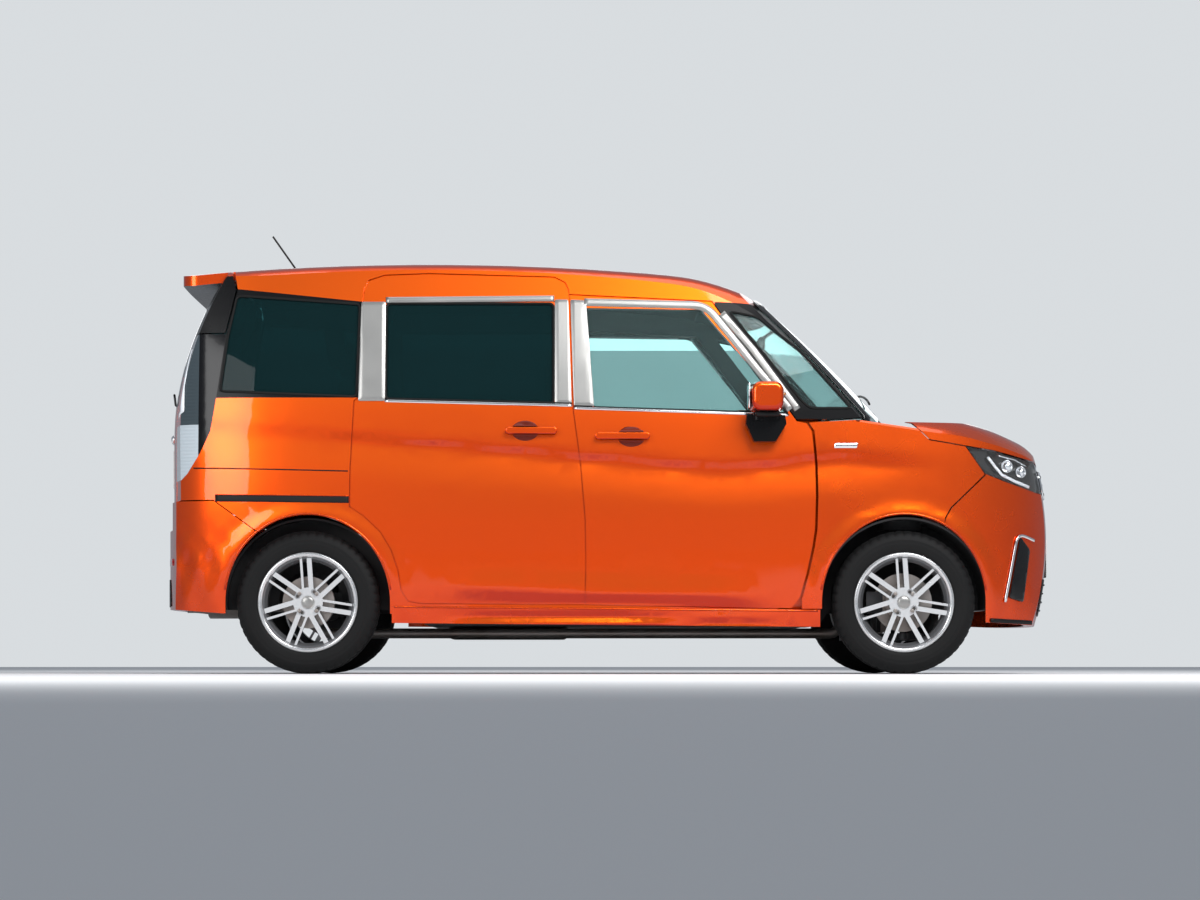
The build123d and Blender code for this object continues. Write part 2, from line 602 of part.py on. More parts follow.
grille_half = 470
grille_top = BELT_HEIGHT - 251
grille_bottom = BELT_HEIGHT - 366
lamp_low_line = [
    (front_axle + 343, BELT_HEIGHT - 277), (front_axle + 418, BELT_HEIGHT - 304),
    (front_axle + 492, BELT_HEIGHT - 326), (front_axle + 576, BELT_HEIGHT - 350),
    (half_length + 30, grille_bottom)]
lamp_outline = [(front_axle + 262, BELT_HEIGHT - 164)] + lamp_low_line + [
    (half_length + 30, grille_top), (front_axle + 515, BELT_HEIGHT - 213),
    (front_axle + 375, BELT_HEIGHT - 182)]
LAMP_REACH = 270
with BuildPart() as headlamp:
    add(side_prism(lamp_outline, start=grille_half + 2, reach=500))
    add(layer(front_side_skin, INWARD, 1, LAMP_REACH), mode=Mode.INTERSECT)
    add(layer(nose_skin, BACK, 2, 600), mode=Mode.INTERSECT)
finish_pair(headlamp.part, "headlamps")

front_lip_height = 197
bumper_outline = [(x + 2, z - 2) for x, z in bumper_seam[:3]]
bumper_outline += [(front_axle + 150, BELT_HEIGHT - 560), (front_axle + 300, front_lip_height + 20),
                   (half_length + 30, front_lip_height)]
bumper_outline += [(x, z - SEAT_GAP) for x, z in reversed(lamp_low_line)]
with BuildPart() as bumper_core:
    add(front_space)
    add(layer(front_side_skin, INWARD, FENDER_THICKNESS, 950), mode=Mode.INTERSECT)
    add(layer(nose_skin, BACK, BUMPER_THICKNESS, 800), mode=Mode.INTERSECT)
with BuildPart() as front_bumper:
    add(side_prism(bumper_outline))
    add(within_front_side, mode=Mode.INTERSECT)
    add(behind_nose, mode=Mode.INTERSECT)
    add(bumper_core.part, mode=Mode.SUBTRACT)
    add(wheel_arch(front_axle), mode=Mode.SUBTRACT)
    with BuildSketch(Plane.YZ.offset(front_axle)):
        with Locations((0, 420)):
            Trapezoid(900, 190, 70)
        with Locations((0, grille_bottom - SEAT_GAP)):
            Rectangle(2 * grille_half + 2, 200, align=(Align.CENTER, Align.MIN))
    extrude(amount=1000, mode=Mode.SUBTRACT)
finish_whole(front_bumper.part, "front_bumper")

with BuildPart() as grille:
    with BuildSketch(Plane.YZ.offset(front_axle + 300)):
        with Locations((0, (grille_top + grille_bottom) / 2)):
            Rectangle(2 * grille_half, grille_top - grille_bottom)
    extrude(amount=500)
    add(layer(nose_skin, BACK, 0, 36), mode=Mode.INTERSECT)
    with BuildSketch(Plane.YZ.offset(front_axle + 300)):
        with GridLocations(0, 26, 1, 4):
            with Locations((0, (grille_top + grille_bottom) / 2)):
                Rectangle(2 * grille_half - 60, 13)
    extrude(amount=500, mode=Mode.SUBTRACT)
finish(grille, "grille")

# Rear end: quarter lamps, bumper, tailgate with its window and roof spoiler
gate_half = 555
lamp_half = 561
gate_low = BELT_HEIGHT - 500
shoulder_height = BELT_HEIGHT + 316
tail_end = -half_length - 30
lamp_outline_rear = lamp_front_line + [(tail_end, BELT_HEIGHT - 301), (tail_end, HEIGHT - 324)]
with BuildPart() as tail_lamp:
    add(side_prism(lamp_outline_rear, start=lamp_half))
    add(layer(side_skin, INWARD, 0, 400), mode=Mode.INTERSECT)
    add(behind_tail, mode=Mode.INTERSECT)
finish_pair(tail_lamp.part, "tail_lamps")

rear_bumper_outline = [
    (rear_axle - 150, bumper_top - 175), (rear_axle - 226, bumper_top - 120),
    (rear_axle - 393, bumper_top), (tail_end, bumper_top), (tail_end, FLOOR_TOP + 27),
    (rear_axle - 355, FLOOR_TOP + 2), (rear_axle - 150, FLOOR_TOP + 2)]
rear_space = side_prism([(rear_axle - 50, 180), (rear_axle - 50, HEIGHT - 40),
                         (tail_end, HEIGHT - 40), (tail_end, 180)], start=-20)
bumper_shift = Location((-17, 0, 0))
with BuildPart() as rear_bumper_core:
    add(rear_space)
    add(layer(side_skin, INWARD, 28, 950), mode=Mode.INTERSECT)
    add(layer(tail_skin, AHEAD, BUMPER_THICKNESS, 800), mode=Mode.INTERSECT)
with BuildPart() as rear_bumper:
    add(side_prism(rear_bumper_outline))
    add(layer(side_skin, INWARD, 0, 900), mode=Mode.INTERSECT)
    add(behind_tail.moved(bumper_shift), mode=Mode.INTERSECT)
    add(rear_bumper_core.part, mode=Mode.SUBTRACT)
    add(wheel_arch(rear_axle), mode=Mode.SUBTRACT)
    with BuildSketch(Plane.YZ.offset(tail_end - 50)):
        with Locations((0, gate_low - SHUT_GAP)):
            Rectangle(2 * lamp_half, 400, align=(Align.CENTER, Align.MIN))
    extrude(amount=800, mode=Mode.SUBTRACT)
finish_whole(rear_bumper.part, "rear_bumper")

gate_side_line = [
    (gate_hinge_x + 2, HEIGHT - 30), (rear_axle - 309, HEIGHT - 139),
    (rear_axle - 350, shoulder_height), (tail_end, shoulder_height), (tail_end, HEIGHT - 30)]
rear_window = [(530, HEIGHT - 200), (0, HEIGHT - 190), (-530, HEIGHT - 200),
               (-520, BELT_HEIGHT + 40), (0, BELT_HEIGHT + 30), (520, BELT_HEIGHT + 40)]
SPOILER_THICKNESS = 42


def tail_prism(points, grow=0):
    """Solid behind a rear-view outline, through the tail."""
    with BuildPart() as solid:
        with BuildSketch(Plane.YZ.offset(tail_end - 20)):
            with BuildLine():
                Polyline(*points, close=True)
            make_face()
            if grow:
                offset(amount=grow, kind=Kind.INTERSECTION, mode=Mode.REPLACE)
        extrude(amount=500)
    return solid.part


spoiler_space = layer(roof_skin, UP, -SPOILER_THICKNESS - SEAT_GAP, 300)
with BuildPart() as gate_leaf:
    add(tail_prism([(0, gate_low), (-gate_half, gate_low), (-gate_half, shoulder_height),
                    (-half_width_full, shoulder_height), (-half_width_full, HEIGHT - 40),
                    (0, HEIGHT - 40)]))
    add(layer(tail_skin, AHEAD, 0, GATE_THICKNESS), mode=Mode.INTERSECT)
    add(within_side, mode=Mode.INTERSECT)
with BuildPart() as gate_cheek:
    add(side_prism(gate_side_line))
    add(layer(side_skin, INWARD, 0, 40), mode=Mode.INTERSECT)
    add(behind_tail, mode=Mode.INTERSECT)
    add(above_roof, mode=Mode.SUBTRACT)
with BuildPart() as tailgate:
    add(gate_leaf.part)
    add(spoiler_space, mode=Mode.SUBTRACT)
    add(gate_cheek.part)
    add(tail_prism(rear_window), mode=Mode.SUBTRACT)
finish_whole(tailgate.part, "tailgate")
with BuildPart() as gate_glass:
    add(tail_prism(rear_window, -SEAT_GAP))
    add(layer(tail_skin, AHEAD, 1, 1 + GLASS_THICKNESS), mode=Mode.INTERSECT)
finish(gate_glass, "tailgate_glass")

spoiler_tip = -half_length + 78
with BuildPart() as spoiler:
    with BuildSketch(Plane.XY.offset(HEIGHT - 200)):
        with BuildLine():
            Polyline((gate_hinge_x, 0), (gate_hinge_x, -600), (spoiler_tip + 90, -620))
            ThreePointArc((spoiler_tip + 90, -620), (spoiler_tip + 42, -605), (spoiler_tip + 22, -560))
            ThreePointArc((spoiler_tip + 22, -560), (spoiler_tip + 6, -280), (spoiler_tip, 0))
            Line((spoiler_tip, 0), (gate_hinge_x, 0))
        make_face()
    extrude(amount=300)
    add(layer(roof_skin, DOWN, 0, SPOILER_THICKNESS), mode=Mode.INTERSECT)
finish_whole(spoiler.part, "roof_spoiler")

# Underbody: floor, toe board, bulkhead, rails, towers and wheelhouses
floor_half = half_width_full - ARCH_FLARE - 30
inner_half = half_width_full - FRAME_DEPTH - ARCH_FLARE - 24
WHEELHOUSE_THICKNESS = 8
FRONT_HOUSE_HALF = 455
rear_house_half = half_track - TYRE_WIDTH / 2 - 28
REAR_FLOOR_HEIGHT = 520
SEAT_FLOOR_HEIGHT = 400
bulkhead_x = front_axle - 125
rail_half = 400
crossmember_x = front_axle + 500
rear_panel_x = -half_length + 95
kick_x = rear_axle + 520
KINGPIN_HALF = 670
STRUT_HALF = 585
STRUT_TOP = 790
TOWER_RADIUS = 95


def bulkhead_profile():
    """Side view of the bulkhead, toe board, floor and load floor, 20 to 45 mm thick."""
    Polyline((bulkhead_x + 20, BELT_HEIGHT - 200), (bulkhead_x, BELT_HEIGHT - 200),
             (bulkhead_x, 560), (hinge_x + 90, FLOOR_TOP - SEAT_GAP), (kick_x, FLOOR_TOP - SEAT_GAP),
             (kick_x - 50, SEAT_FLOOR_HEIGHT), (rear_axle + 260, SEAT_FLOOR_HEIGHT),
             (rear_axle + 240, REAR_FLOOR_HEIGHT), (rear_panel_x, REAR_FLOOR_HEIGHT),
             (rear_panel_x, REAR_FLOOR_HEIGHT - 40), (rear_axle + 205, REAR_FLOOR_HEIGHT - 40),
             (rear_axle + 220, SEAT_FLOOR_HEIGHT - FLOOR_THICKNESS),
             (kick_x - 82, SEAT_FLOOR_HEIGHT - FLOOR_THICKNESS),
             (kick_x - 35, FLOOR_TOP - FLOOR_THICKNESS),
             (hinge_x + 110, FLOOR_TOP - FLOOR_THICKNESS), (bulkhead_x + 20, 550), close=True)


def arch_profile(axle, radius, foot):
    """Side view of an arch of one radius over an axle, with straight legs to its foot."""
    Line((axle - radius, foot), (axle - radius, TYRE_RADIUS))
    ThreePointArc((axle - radius, TYRE_RADIUS), (axle, TYRE_RADIUS + radius),
                  (axle + radius, TYRE_RADIUS))
    Polyline((axle + radius, TYRE_RADIUS), (axle + radius, foot), (axle - radius, foot))


def wheelhouse(axle, inner, shaft_radius):
    """Right-hand arch-shaped shell over a wheel, closed on its inner side but for a shaft."""
    clear_radius = arch_radius + 2
    with BuildPart() as shell:
        with BuildSketch(Plane.XZ.offset(inner)):
            with BuildLine():
                arch_profile(axle, clear_radius + WHEELHOUSE_THICKNESS, TYRE_RADIUS - 30)
            make_face()
        extrude(amount=half_width_full - inner - 5)
        with BuildSketch(Plane.XZ.offset(inner + WHEELHOUSE_THICKNESS)):
            with BuildLine():
                arch_profile(axle, clear_radius, 0)
            make_face()
        extrude(amount=half_width_full, mode=Mode.SUBTRACT)
        with BuildSketch(Plane.XZ.offset(inner - 20)):
            with Locations((axle, TYRE_RADIUS)):
                Circle(shaft_radius)
        extrude(amount=60, mode=Mode.SUBTRACT)
    return shell.part


with BuildPart() as front_house:
    add(wheelhouse(front_axle, FRONT_HOUSE_HALF, 70))
    add(layer(front_side_skin, OUTWARD, -FENDER_THICKNESS - SEAT_GAP, 200), mode=Mode.SUBTRACT)
with BuildPart() as rear_house:
    add(wheelhouse(rear_axle, rear_house_half, 135))
    add(layer(side_skin, OUTWARD, -FRAME_DEPTH - SEAT_GAP, 160), mode=Mode.SUBTRACT)

with BuildPart() as structure:
    with BuildSketch(Plane.XZ):
        with BuildLine():
            bulkhead_profile()
        make_face()
    extrude(amount=FRONT_HOUSE_HALF)
    with BuildSketch(Plane.XY.offset(FLOOR_TOP - FLOOR_THICKNESS)):
        with Locations((kick_x - 35, 0)):
            Rectangle(hinge_x + 125 - kick_x, floor_half, align=(Align.MIN, Align.MAX))
    extrude(amount=FLOOR_THICKNESS - SEAT_GAP)
    with BuildSketch(Plane.XZ):
        with BuildLine():
            Polyline((kick_x - 35, FLOOR_TOP - FLOOR_THICKNESS), (kick_x, FLOOR_TOP - SEAT_GAP),
                     (kick_x - 50, SEAT_FLOOR_HEIGHT), (rear_axle + 375, SEAT_FLOOR_HEIGHT),
                     (rear_axle + 375, SEAT_FLOOR_HEIGHT - FLOOR_THICKNESS),
                     (kick_x - 82, SEAT_FLOOR_HEIGHT - FLOOR_THICKNESS), close=True)
        make_face()
    extrude(amount=inner_half - 4)
    with BuildSketch(Plane.XZ):
        with BuildLine():
            Polyline((rear_axle + 375, SEAT_FLOOR_HEIGHT), (rear_axle + 260, SEAT_FLOOR_HEIGHT),
                     (rear_axle + 240, REAR_FLOOR_HEIGHT), (rear_panel_x, REAR_FLOOR_HEIGHT),
                     (rear_panel_x, REAR_FLOOR_HEIGHT - 40), (rear_axle + 205, REAR_FLOOR_HEIGHT - 40),
                     (rear_axle + 220, SEAT_FLOOR_HEIGHT - FLOOR_THICKNESS),
                     (rear_axle + 375, SEAT_FLOOR_HEIGHT - FLOOR_THICKNESS), close=True)
        make_face()
    extrude(amount=rear_house_half + 4)
    with BuildSketch(Plane.YZ.offset(bulkhead_x)):
        with Locations((0, BELT_HEIGHT - 200)):
            Rectangle(inner_half, 255, align=(Align.MAX, Align.MAX))
    extrude(amount=20)
    with BuildSketch(Plane.YZ.offset(rear_panel_x)):
        with Locations((0, gate_low + 40)):
            Rectangle(gate_half, gate_low - 290, align=(Align.MAX, Align.MAX))
        with Locations((0, gate_low + 15)):
            Rectangle(40, 50, align=(Align.MAX, Align.CENTER))
    extrude(amount=18)
    with BuildSketch(Plane.XZ.offset(rail_half - 35)):
        with BuildLine():
            Polyline((hinge_x + 60, 240), (hinge_x + 100, 300), (bulkhead_x, 420),
                     (crossmember_x + 60, 440), (crossmember_x + 60, 520), (bulkhead_x, 520),
                     (hinge_x + 60, 280), close=True)
        with BuildLine():
            Polyline((rear_axle + 240, 360), (rear_axle + 160, 420), (rear_panel_x, 420),
                     (rear_panel_x, REAR_FLOOR_HEIGHT - 20), (rear_axle + 230, REAR_FLOOR_HEIGHT - 60),
                     close=True)
        make_face()
    extrude(amount=50)
    with BuildSketch(Plane.XY.offset(TYRE_RADIUS + arch_radius - 40)):
        with Locations((front_axle, -STRUT_HALF)):
            Circle(TOWER_RADIUS)
    extrude(amount=STRUT_TOP + 20 - TYRE_RADIUS - arch_radius + 40)
    add(front_house.part)
    add(rear_house.part)
    with BuildSketch(Plane.XY.offset(TYRE_RADIUS + 200)):
        with Locations((front_axle, -STRUT_HALF)):
            Circle(TOWER_RADIUS - 9)
    extrude(amount=STRUT_TOP + 8 - TYRE_RADIUS - 200, mode=Mode.SUBTRACT)
    with BuildSketch(Plane.YZ.offset(crossmember_x)):
        with Locations((0, 480)):
            Rectangle(rail_half, 80, align=(Align.MAX, Align.CENTER))
        with Locations((0, 700)):
            Rectangle(45, 560, align=(Align.MAX, Align.CENTER))
    extrude(amount=50)
    add(layer(bonnet_skin, UP, -BONNET_THICKNESS - SEAT_GAP, 300), mode=Mode.SUBTRACT)
    add(layer(tail_skin, BACK, -GATE_THICKNESS - SEAT_GAP, 300), mode=Mode.SUBTRACT)
front_beam_height = 480
with BuildPart() as front_beam:
    with BuildSketch(Plane.YZ.offset(crossmember_x + 50)):
        with Locations((0, front_beam_height)):
            Rectangle(2 * rail_half, 80)
    extrude(amount=200)
    add(layer(nose_skin, AHEAD, -BUMPER_THICKNESS - SEAT_GAP, 300), mode=Mode.SUBTRACT)
with BuildPart() as rear_beam:
    with BuildSketch(Plane.YZ.offset(rear_panel_x)):
        with Locations((0, 450)):
            Rectangle(900, 90)
    extrude(amount=-100)
    add(layer(tail_skin, BACK, -BUMPER_THICKNESS - SEAT_GAP, 300), mode=Mode.SUBTRACT)
with BuildPart() as gate_striker:
    with BuildSketch(Plane.YZ.offset(rear_panel_x)):
        with Locations((0, gate_low + 20)):
            Rectangle(80, 40)
    extrude(amount=-100)
    add(layer(tail_skin, BACK, -GATE_THICKNESS - SEAT_GAP, 300), mode=Mode.SUBTRACT)
with BuildPart() as underbody:
    add(structure.part)
    mirror(about=Plane.XZ)
    add(front_beam.part)
    add(rear_beam.part)
    add(gate_striker.part)
finish(underbody, "underbody")

# Wheels: alloy rim with paired spokes, and tyre
with BuildPart() as rim:
    with BuildSketch(Plane.XY):
        with BuildLine():
            half = RIM_WIDTH / 2
            Polyline((RIM_LIP_RADIUS, -half), (RIM_LIP_RADIUS, -half + 6), (BEAD_RADIUS, -half + 12),
                     (BEAD_RADIUS, -half + 30), (BEAD_RADIUS - 12, -half + 50),
                     (BEAD_RADIUS - 12, half - 30), (BEAD_RADIUS, half - 18), (BEAD_RADIUS, half - 12),
                     (RIM_LIP_RADIUS, half - 6), (RIM_LIP_RADIUS, half), (RIM_LIP_RADIUS - 8, half),
                     (BEAD_RADIUS - 8, half - 14), (BEAD_RADIUS - 20, half - 32),
                     (BEAD_RADIUS - 20, -half + 52), (BEAD_RADIUS - 20, -half + 32),
                     (BEAD_RADIUS - 8, -half + 14), (RIM_LIP_RADIUS - 8, -half), close=True)
        make_face()
    revolve(axis=Axis.Y)
    with BuildSketch(Plane.XZ.offset(34)):
        with PolarLocations(0, SPOKE_PAIRS, start_angle=94):
            with Locations((114, 17)):
                Rectangle(144, NARROW_SPOKE)
            with Locations((114, -17)):
                Rectangle(144, WIDE_SPOKE)
        Circle(HUB_RADIUS)
    extrude(amount=24)
    with BuildSketch(Plane.XZ.offset(30)):
        with PolarLocations(LUG_CIRCLE / 2, LUG_COUNT, start_angle=60):
            Circle(7)
        Circle(27)
    extrude(amount=40, mode=Mode.SUBTRACT)
    with BuildSketch(Plane.XZ.offset(48)):
        with PolarLocations(LUG_CIRCLE / 2, LUG_COUNT, start_angle=60):
            Circle(12)
    extrude(amount=20, mode=Mode.SUBTRACT)
with BuildPart() as tyre:
    with BuildSketch(Plane.XY):
        with BuildLine():
            bead = RIM_WIDTH / 2 - 12 - SEAT_GAP
            half = TYRE_WIDTH / 2
            Polyline((BEAD_RADIUS + SEAT_GAP, bead), (BEAD_RADIUS + SEAT_GAP, -bead))
            Line((BEAD_RADIUS + SEAT_GAP, -bead), (RIM_LIP_RADIUS + 2, -bead - 7))
            ThreePointArc((RIM_LIP_RADIUS + 2, -bead - 7), (BEAD_RADIUS + 64, -half),
                          (TYRE_RADIUS - 8, -half + 17))
            ThreePointArc((TYRE_RADIUS - 8, -half + 17), (TYRE_RADIUS - 2, -half + 25),
                          (TYRE_RADIUS, -half + 34))
            Line((TYRE_RADIUS, -half + 34), (TYRE_RADIUS, half - 34))
            ThreePointArc((TYRE_RADIUS, half - 34), (TYRE_RADIUS - 2, half - 25),
                          (TYRE_RADIUS - 8, half - 17))
            ThreePointArc((TYRE_RADIUS - 8, half - 17), (BEAD_RADIUS + 64, half),
                          (RIM_LIP_RADIUS + 2, bead + 7))
            Line((RIM_LIP_RADIUS + 2, bead + 7), (BEAD_RADIUS + SEAT_GAP, bead))
        make_face()
    revolve(axis=Axis.Y)

WHEEL_PLACES = {"front_right": (front_axle, -1), "front_left": (front_axle, 1),
                "rear_right": (rear_axle, -1), "rear_left": (rear_axle, 1)}


def at_wheel(shape, axle, side):
    """Place a piece modelled with its outer face towards -Y at one wheel."""
    turn = 0 if side < 0 else 180
    return shape.moved(Location((axle, side * half_track, TYRE_RADIUS), (0, 0, turn)))


for place, (axle, side) in WHEEL_PLACES.items():
    with BuildPart() as placed_rim:
        add(at_wheel(rim.part, axle, side))
    finish(placed_rim, f"rim_{place}")
    with BuildPart() as placed_tyre:
        add(at_wheel(tyre.part, axle, side))
    finish(placed_tyre, f"tyre_{place}")

# Brakes, knuckles, struts, control arms and rear axle
HUB_FACE = 34 - SEAT_GAP
STUB_RADIUS = 18
DISC_INNER = -15
DISC_THICKNESS = 20
KINGPIN_TILT = 10.5
with BuildPart() as disc:
    with BuildSketch(Plane.XZ.offset(DISC_INNER)):
        Circle(DISC_RADIUS)
    extrude(amount=DISC_THICKNESS)
    with BuildSketch(Plane.XZ.offset(DISC_INNER + DISC_THICKNESS)):
        Circle(75)
    extrude(amount=HUB_FACE - DISC_INNER - DISC_THICKNESS)
    with BuildSketch(Plane.XZ.offset(DISC_INNER - 1)):
        Circle(STUB_RADIUS + SEAT_GAP)
    extrude(amount=HUB_FACE - DISC_INNER - 8, mode=Mode.SUBTRACT)
with BuildPart() as drum:
    with BuildSketch(Plane.XZ.offset(-28)):
        Circle(DRUM_RADIUS)
    extrude(amount=HUB_FACE + 28 - 6)
    with BuildSketch(Plane.XZ.offset(HUB_FACE - 6)):
        Circle(80)
    extrude(amount=6)
    with BuildSketch(Plane.XZ.offset(-29)):
        Circle(STUB_RADIUS + SEAT_GAP)
    extrude(amount=50, mode=Mode.SUBTRACT)
for side, label in ((-1, "right"), (1, "left")):
    with BuildPart() as placed_disc:
        add(at_wheel(disc.part, front_axle, side))
    finish(placed_disc, f"front_disc_{label}")
    with BuildPart() as placed_drum:
        add(at_wheel(drum.part, rear_axle, side))
    finish(placed_drum, f"rear_drum_{label}")

ball_height = 175
tilt = tan(radians(KINGPIN_TILT))


def kingpin_half(z):
    """Distance of the steering axis from the middle plane at a height."""
    return KINGPIN_HALF - (z - TYRE_RADIUS) * tilt


ball_plane = Plane(origin=(front_axle, -kingpin_half(ball_height - 24), ball_height - 24),
                   x_dir=(1, 0, 0), z_dir=(0, sin(radians(KINGPIN_TILT)), cos(radians(KINGPIN_TILT))))
strut_plane = Plane(origin=(front_axle, -(STRUT_HALF + 22), 395), x_dir=(1, 0, 0),
                    z_dir=(0, STRUT_HALF + 22 - kingpin_half(STRUT_TOP), STRUT_TOP - 395))
top_plane = Plane(origin=(front_axle, -kingpin_half(STRUT_TOP), STRUT_TOP), x_dir=(1, 0, 0),
                  z_dir=(0, sin(radians(KINGPIN_TILT)), cos(radians(KINGPIN_TILT))))
CALIPER_REACH = 155
with BuildPart() as knuckle:
    with BuildSketch(Plane.XZ.offset(half_track + DISC_INNER - 15)):
        with Locations((front_axle, TYRE_RADIUS)):
            Circle(46)
        with BuildLine():
            Polyline((front_axle - 26, ball_height + 10), (front_axle + 26, ball_height + 10),
                     (front_axle + 30, 410), (front_axle - 30, 410), close=True)
        make_face()
    extrude(amount=-40)
    with BuildSketch(Plane.XZ.offset(half_track + DISC_INNER - 40)):
        with Locations((front_axle, TYRE_RADIUS)):
            Circle(STUB_RADIUS)
    extrude(amount=60)
    with BuildSketch(Plane.XZ.offset(STRUT_HALF - 5)):
        with Locations((front_axle, 395)):
            Rectangle(56, 30)
    extrude(amount=90)
    with BuildSketch(ball_plane):
        Circle(11)
    extrude(amount=50)
    with BuildSketch(strut_plane):
        Circle(24)
    extrude(amount=230)
    with BuildSketch(strut_plane.offset(228)):
        Circle(52)
    extrude(amount=130)
    with BuildSketch(top_plane):
        Circle(30)
    extrude(amount=-60)
    with BuildSketch(Plane.XZ.offset(half_track + DISC_INNER - 14)):
        with Locations((front_axle - CALIPER_REACH + 36, TYRE_RADIUS)):
            Rectangle(68, 90)
    extrude(amount=47)
    with BuildSketch(Plane.XZ.offset(half_track + DISC_INNER - 35)):
        with Locations((front_axle - 70, TYRE_RADIUS)):
            Rectangle(120, 50)
    extrude(amount=24)
    with BuildSketch(Plane.XZ.offset(half_track + DISC_INNER - 5)):
        with Locations((front_axle, TYRE_RADIUS)):
            Circle(DISC_RADIUS + 5)
    extrude(amount=DISC_THICKNESS + 10, mode=Mode.SUBTRACT)
    with BuildSketch(Plane.XZ.offset(half_track + DISC_INNER - 40)):
        with Locations((front_axle, TYRE_RADIUS)):
            Circle(STUB_RADIUS)
    extrude(amount=60)
finish_left_and_right(knuckle.part, "knuckle")

with BuildPart() as arms:
    with BuildSketch(Plane.XY.offset(ball_height - 30)):
        with BuildLine():
            Polyline((front_axle - 180, 0), (front_axle - 180, -rail_half - 5),
                     (front_axle - 130, -rail_half - 5),
                     (front_axle - 30, -kingpin_half(ball_height)), (front_axle + 30, -kingpin_half(ball_height)),
                     (front_axle + 40, -rail_half - 5), (front_axle + 120, -rail_half - 5),
                     (front_axle + 120, 0), close=True)
        make_face()
        with Locations((front_axle, -kingpin_half(ball_height))):
            Circle(22)
    extrude(amount=26)
    with BuildSketch(ball_plane.offset(-40)):
        Circle(11 + SEAT_GAP)
    extrude(amount=100, mode=Mode.SUBTRACT)
    for along in (30, 190):
        with BuildSketch(Plane.XY.offset(ball_height - 10)):
            with Locations((bulkhead_x + along, -rail_half + 10)):
                Circle(16)
        rail_height = 420 + 20 * along / (crossmember_x + 60 - bulkhead_x)
        extrude(amount=rail_height - SEAT_GAP - ball_height + 9)
finish_whole(arms.part, "front_subframe")

REAR_ARM_HALF = 575
pivot_x = rear_axle + 400
with BuildPart() as rear_axle_half:
    with BuildSketch(Plane.XZ.offset(REAR_ARM_HALF - 22)):
        with BuildLine():
            Polyline((pivot_x + 20, 325), (pivot_x + 20, 285), (rear_axle + 60, 255),
                     (rear_axle - 40, 255), (rear_axle - 40, 345), (rear_axle + 60, 345), close=True)
        make_face()
    extrude(amount=44)
    with BuildSketch(Plane.XZ.offset(REAR_ARM_HALF - 25)):
        with Locations((pivot_x, 305)):
            Circle(26)
    extrude(amount=50)
    with BuildSketch(Plane.XZ.offset(REAR_ARM_HALF - 18)):
        with Locations((pivot_x, 330)):
            Rectangle(40, 2 * (SEAT_FLOOR_HEIGHT - FLOOR_THICKNESS - SEAT_GAP - 330))
    extrude(amount=36)
    with BuildSketch(Plane.XZ):
        with BuildLine():
            Polyline((rear_axle + 200, 270), (rear_axle + 190, 325), (rear_axle + 130, 325),
                     (rear_axle + 120, 270), (rear_axle + 128, 270), (rear_axle + 138, 315),
                     (rear_axle + 182, 315), (rear_axle + 192, 270), close=True)
        make_face()
    extrude(amount=REAR_ARM_HALF)
    with BuildSketch(Plane.XZ.offset(REAR_ARM_HALF)):
        with Locations((rear_axle, TYRE_RADIUS)):
            Circle(60)
    extrude(amount=half_track - 28 - 6 - REAR_ARM_HALF)
    with BuildSketch(Plane.XZ.offset(half_track - 28 - 10)):
        with Locations((rear_axle, TYRE_RADIUS)):
            Circle(DRUM_RADIUS - 4)
    extrude(amount=4)
    with BuildSketch(Plane.XZ.offset(half_track - 28 - 10)):
        with Locations((rear_axle, TYRE_RADIUS)):
            Circle(STUB_RADIUS)
    extrude(amount=50)
    with BuildSketch(Plane.XY.offset(320)):
        with Locations((rear_axle + 60, -REAR_ARM_HALF + 60)):
            Circle(50)
    extrude(amount=REAR_FLOOR_HEIGHT - 40 - SEAT_GAP - 320)
finish_whole(rear_axle_half.part, "rear_axle")

# Engine, drive shafts, fuel tank and exhaust
engine_half = rail_half - 35 - SEAT_GAP
with BuildPart() as engine:
    with BuildSketch(Plane.XY.offset(270)):
        with Locations((front_axle + 160, 0)):
            Rectangle(460, 2 * engine_half)
    extrude(amount=540)
    chamfer(engine.edges().filter_by(Axis.Z), 40)
finish(engine, "engine_block")
with BuildPart() as shaft:
    with BuildSketch(Plane.XZ.offset(engine_half + SEAT_GAP)):
        with Locations((front_axle, TYRE_RADIUS)):
            Circle(13)
    extrude(amount=610 - engine_half)
    for start in (engine_half + SEAT_GAP, 560):
        with BuildSketch(Plane.XZ.offset(start)):
            with Locations((front_axle, TYRE_RADIUS)):
                Circle(34)
        extrude(amount=50)
finish_pair(shaft.part, "drive_shafts")
tank_top = FLOOR_TOP - FLOOR_THICKNESS - SEAT_GAP
with BuildPart() as tank:
    with BuildSketch(Plane.XY.offset(tank_top - 55)):
        with Locations((rear_axle + 820, 240)):
            RectangleRounded(520, 380, 60)
    extrude(amount=55)
    fillet(tank.faces().sort_by(Axis.Z)[0].edges(), radius=18)
finish(tank, "fuel_tank")
pipe_z = tank_top - 30
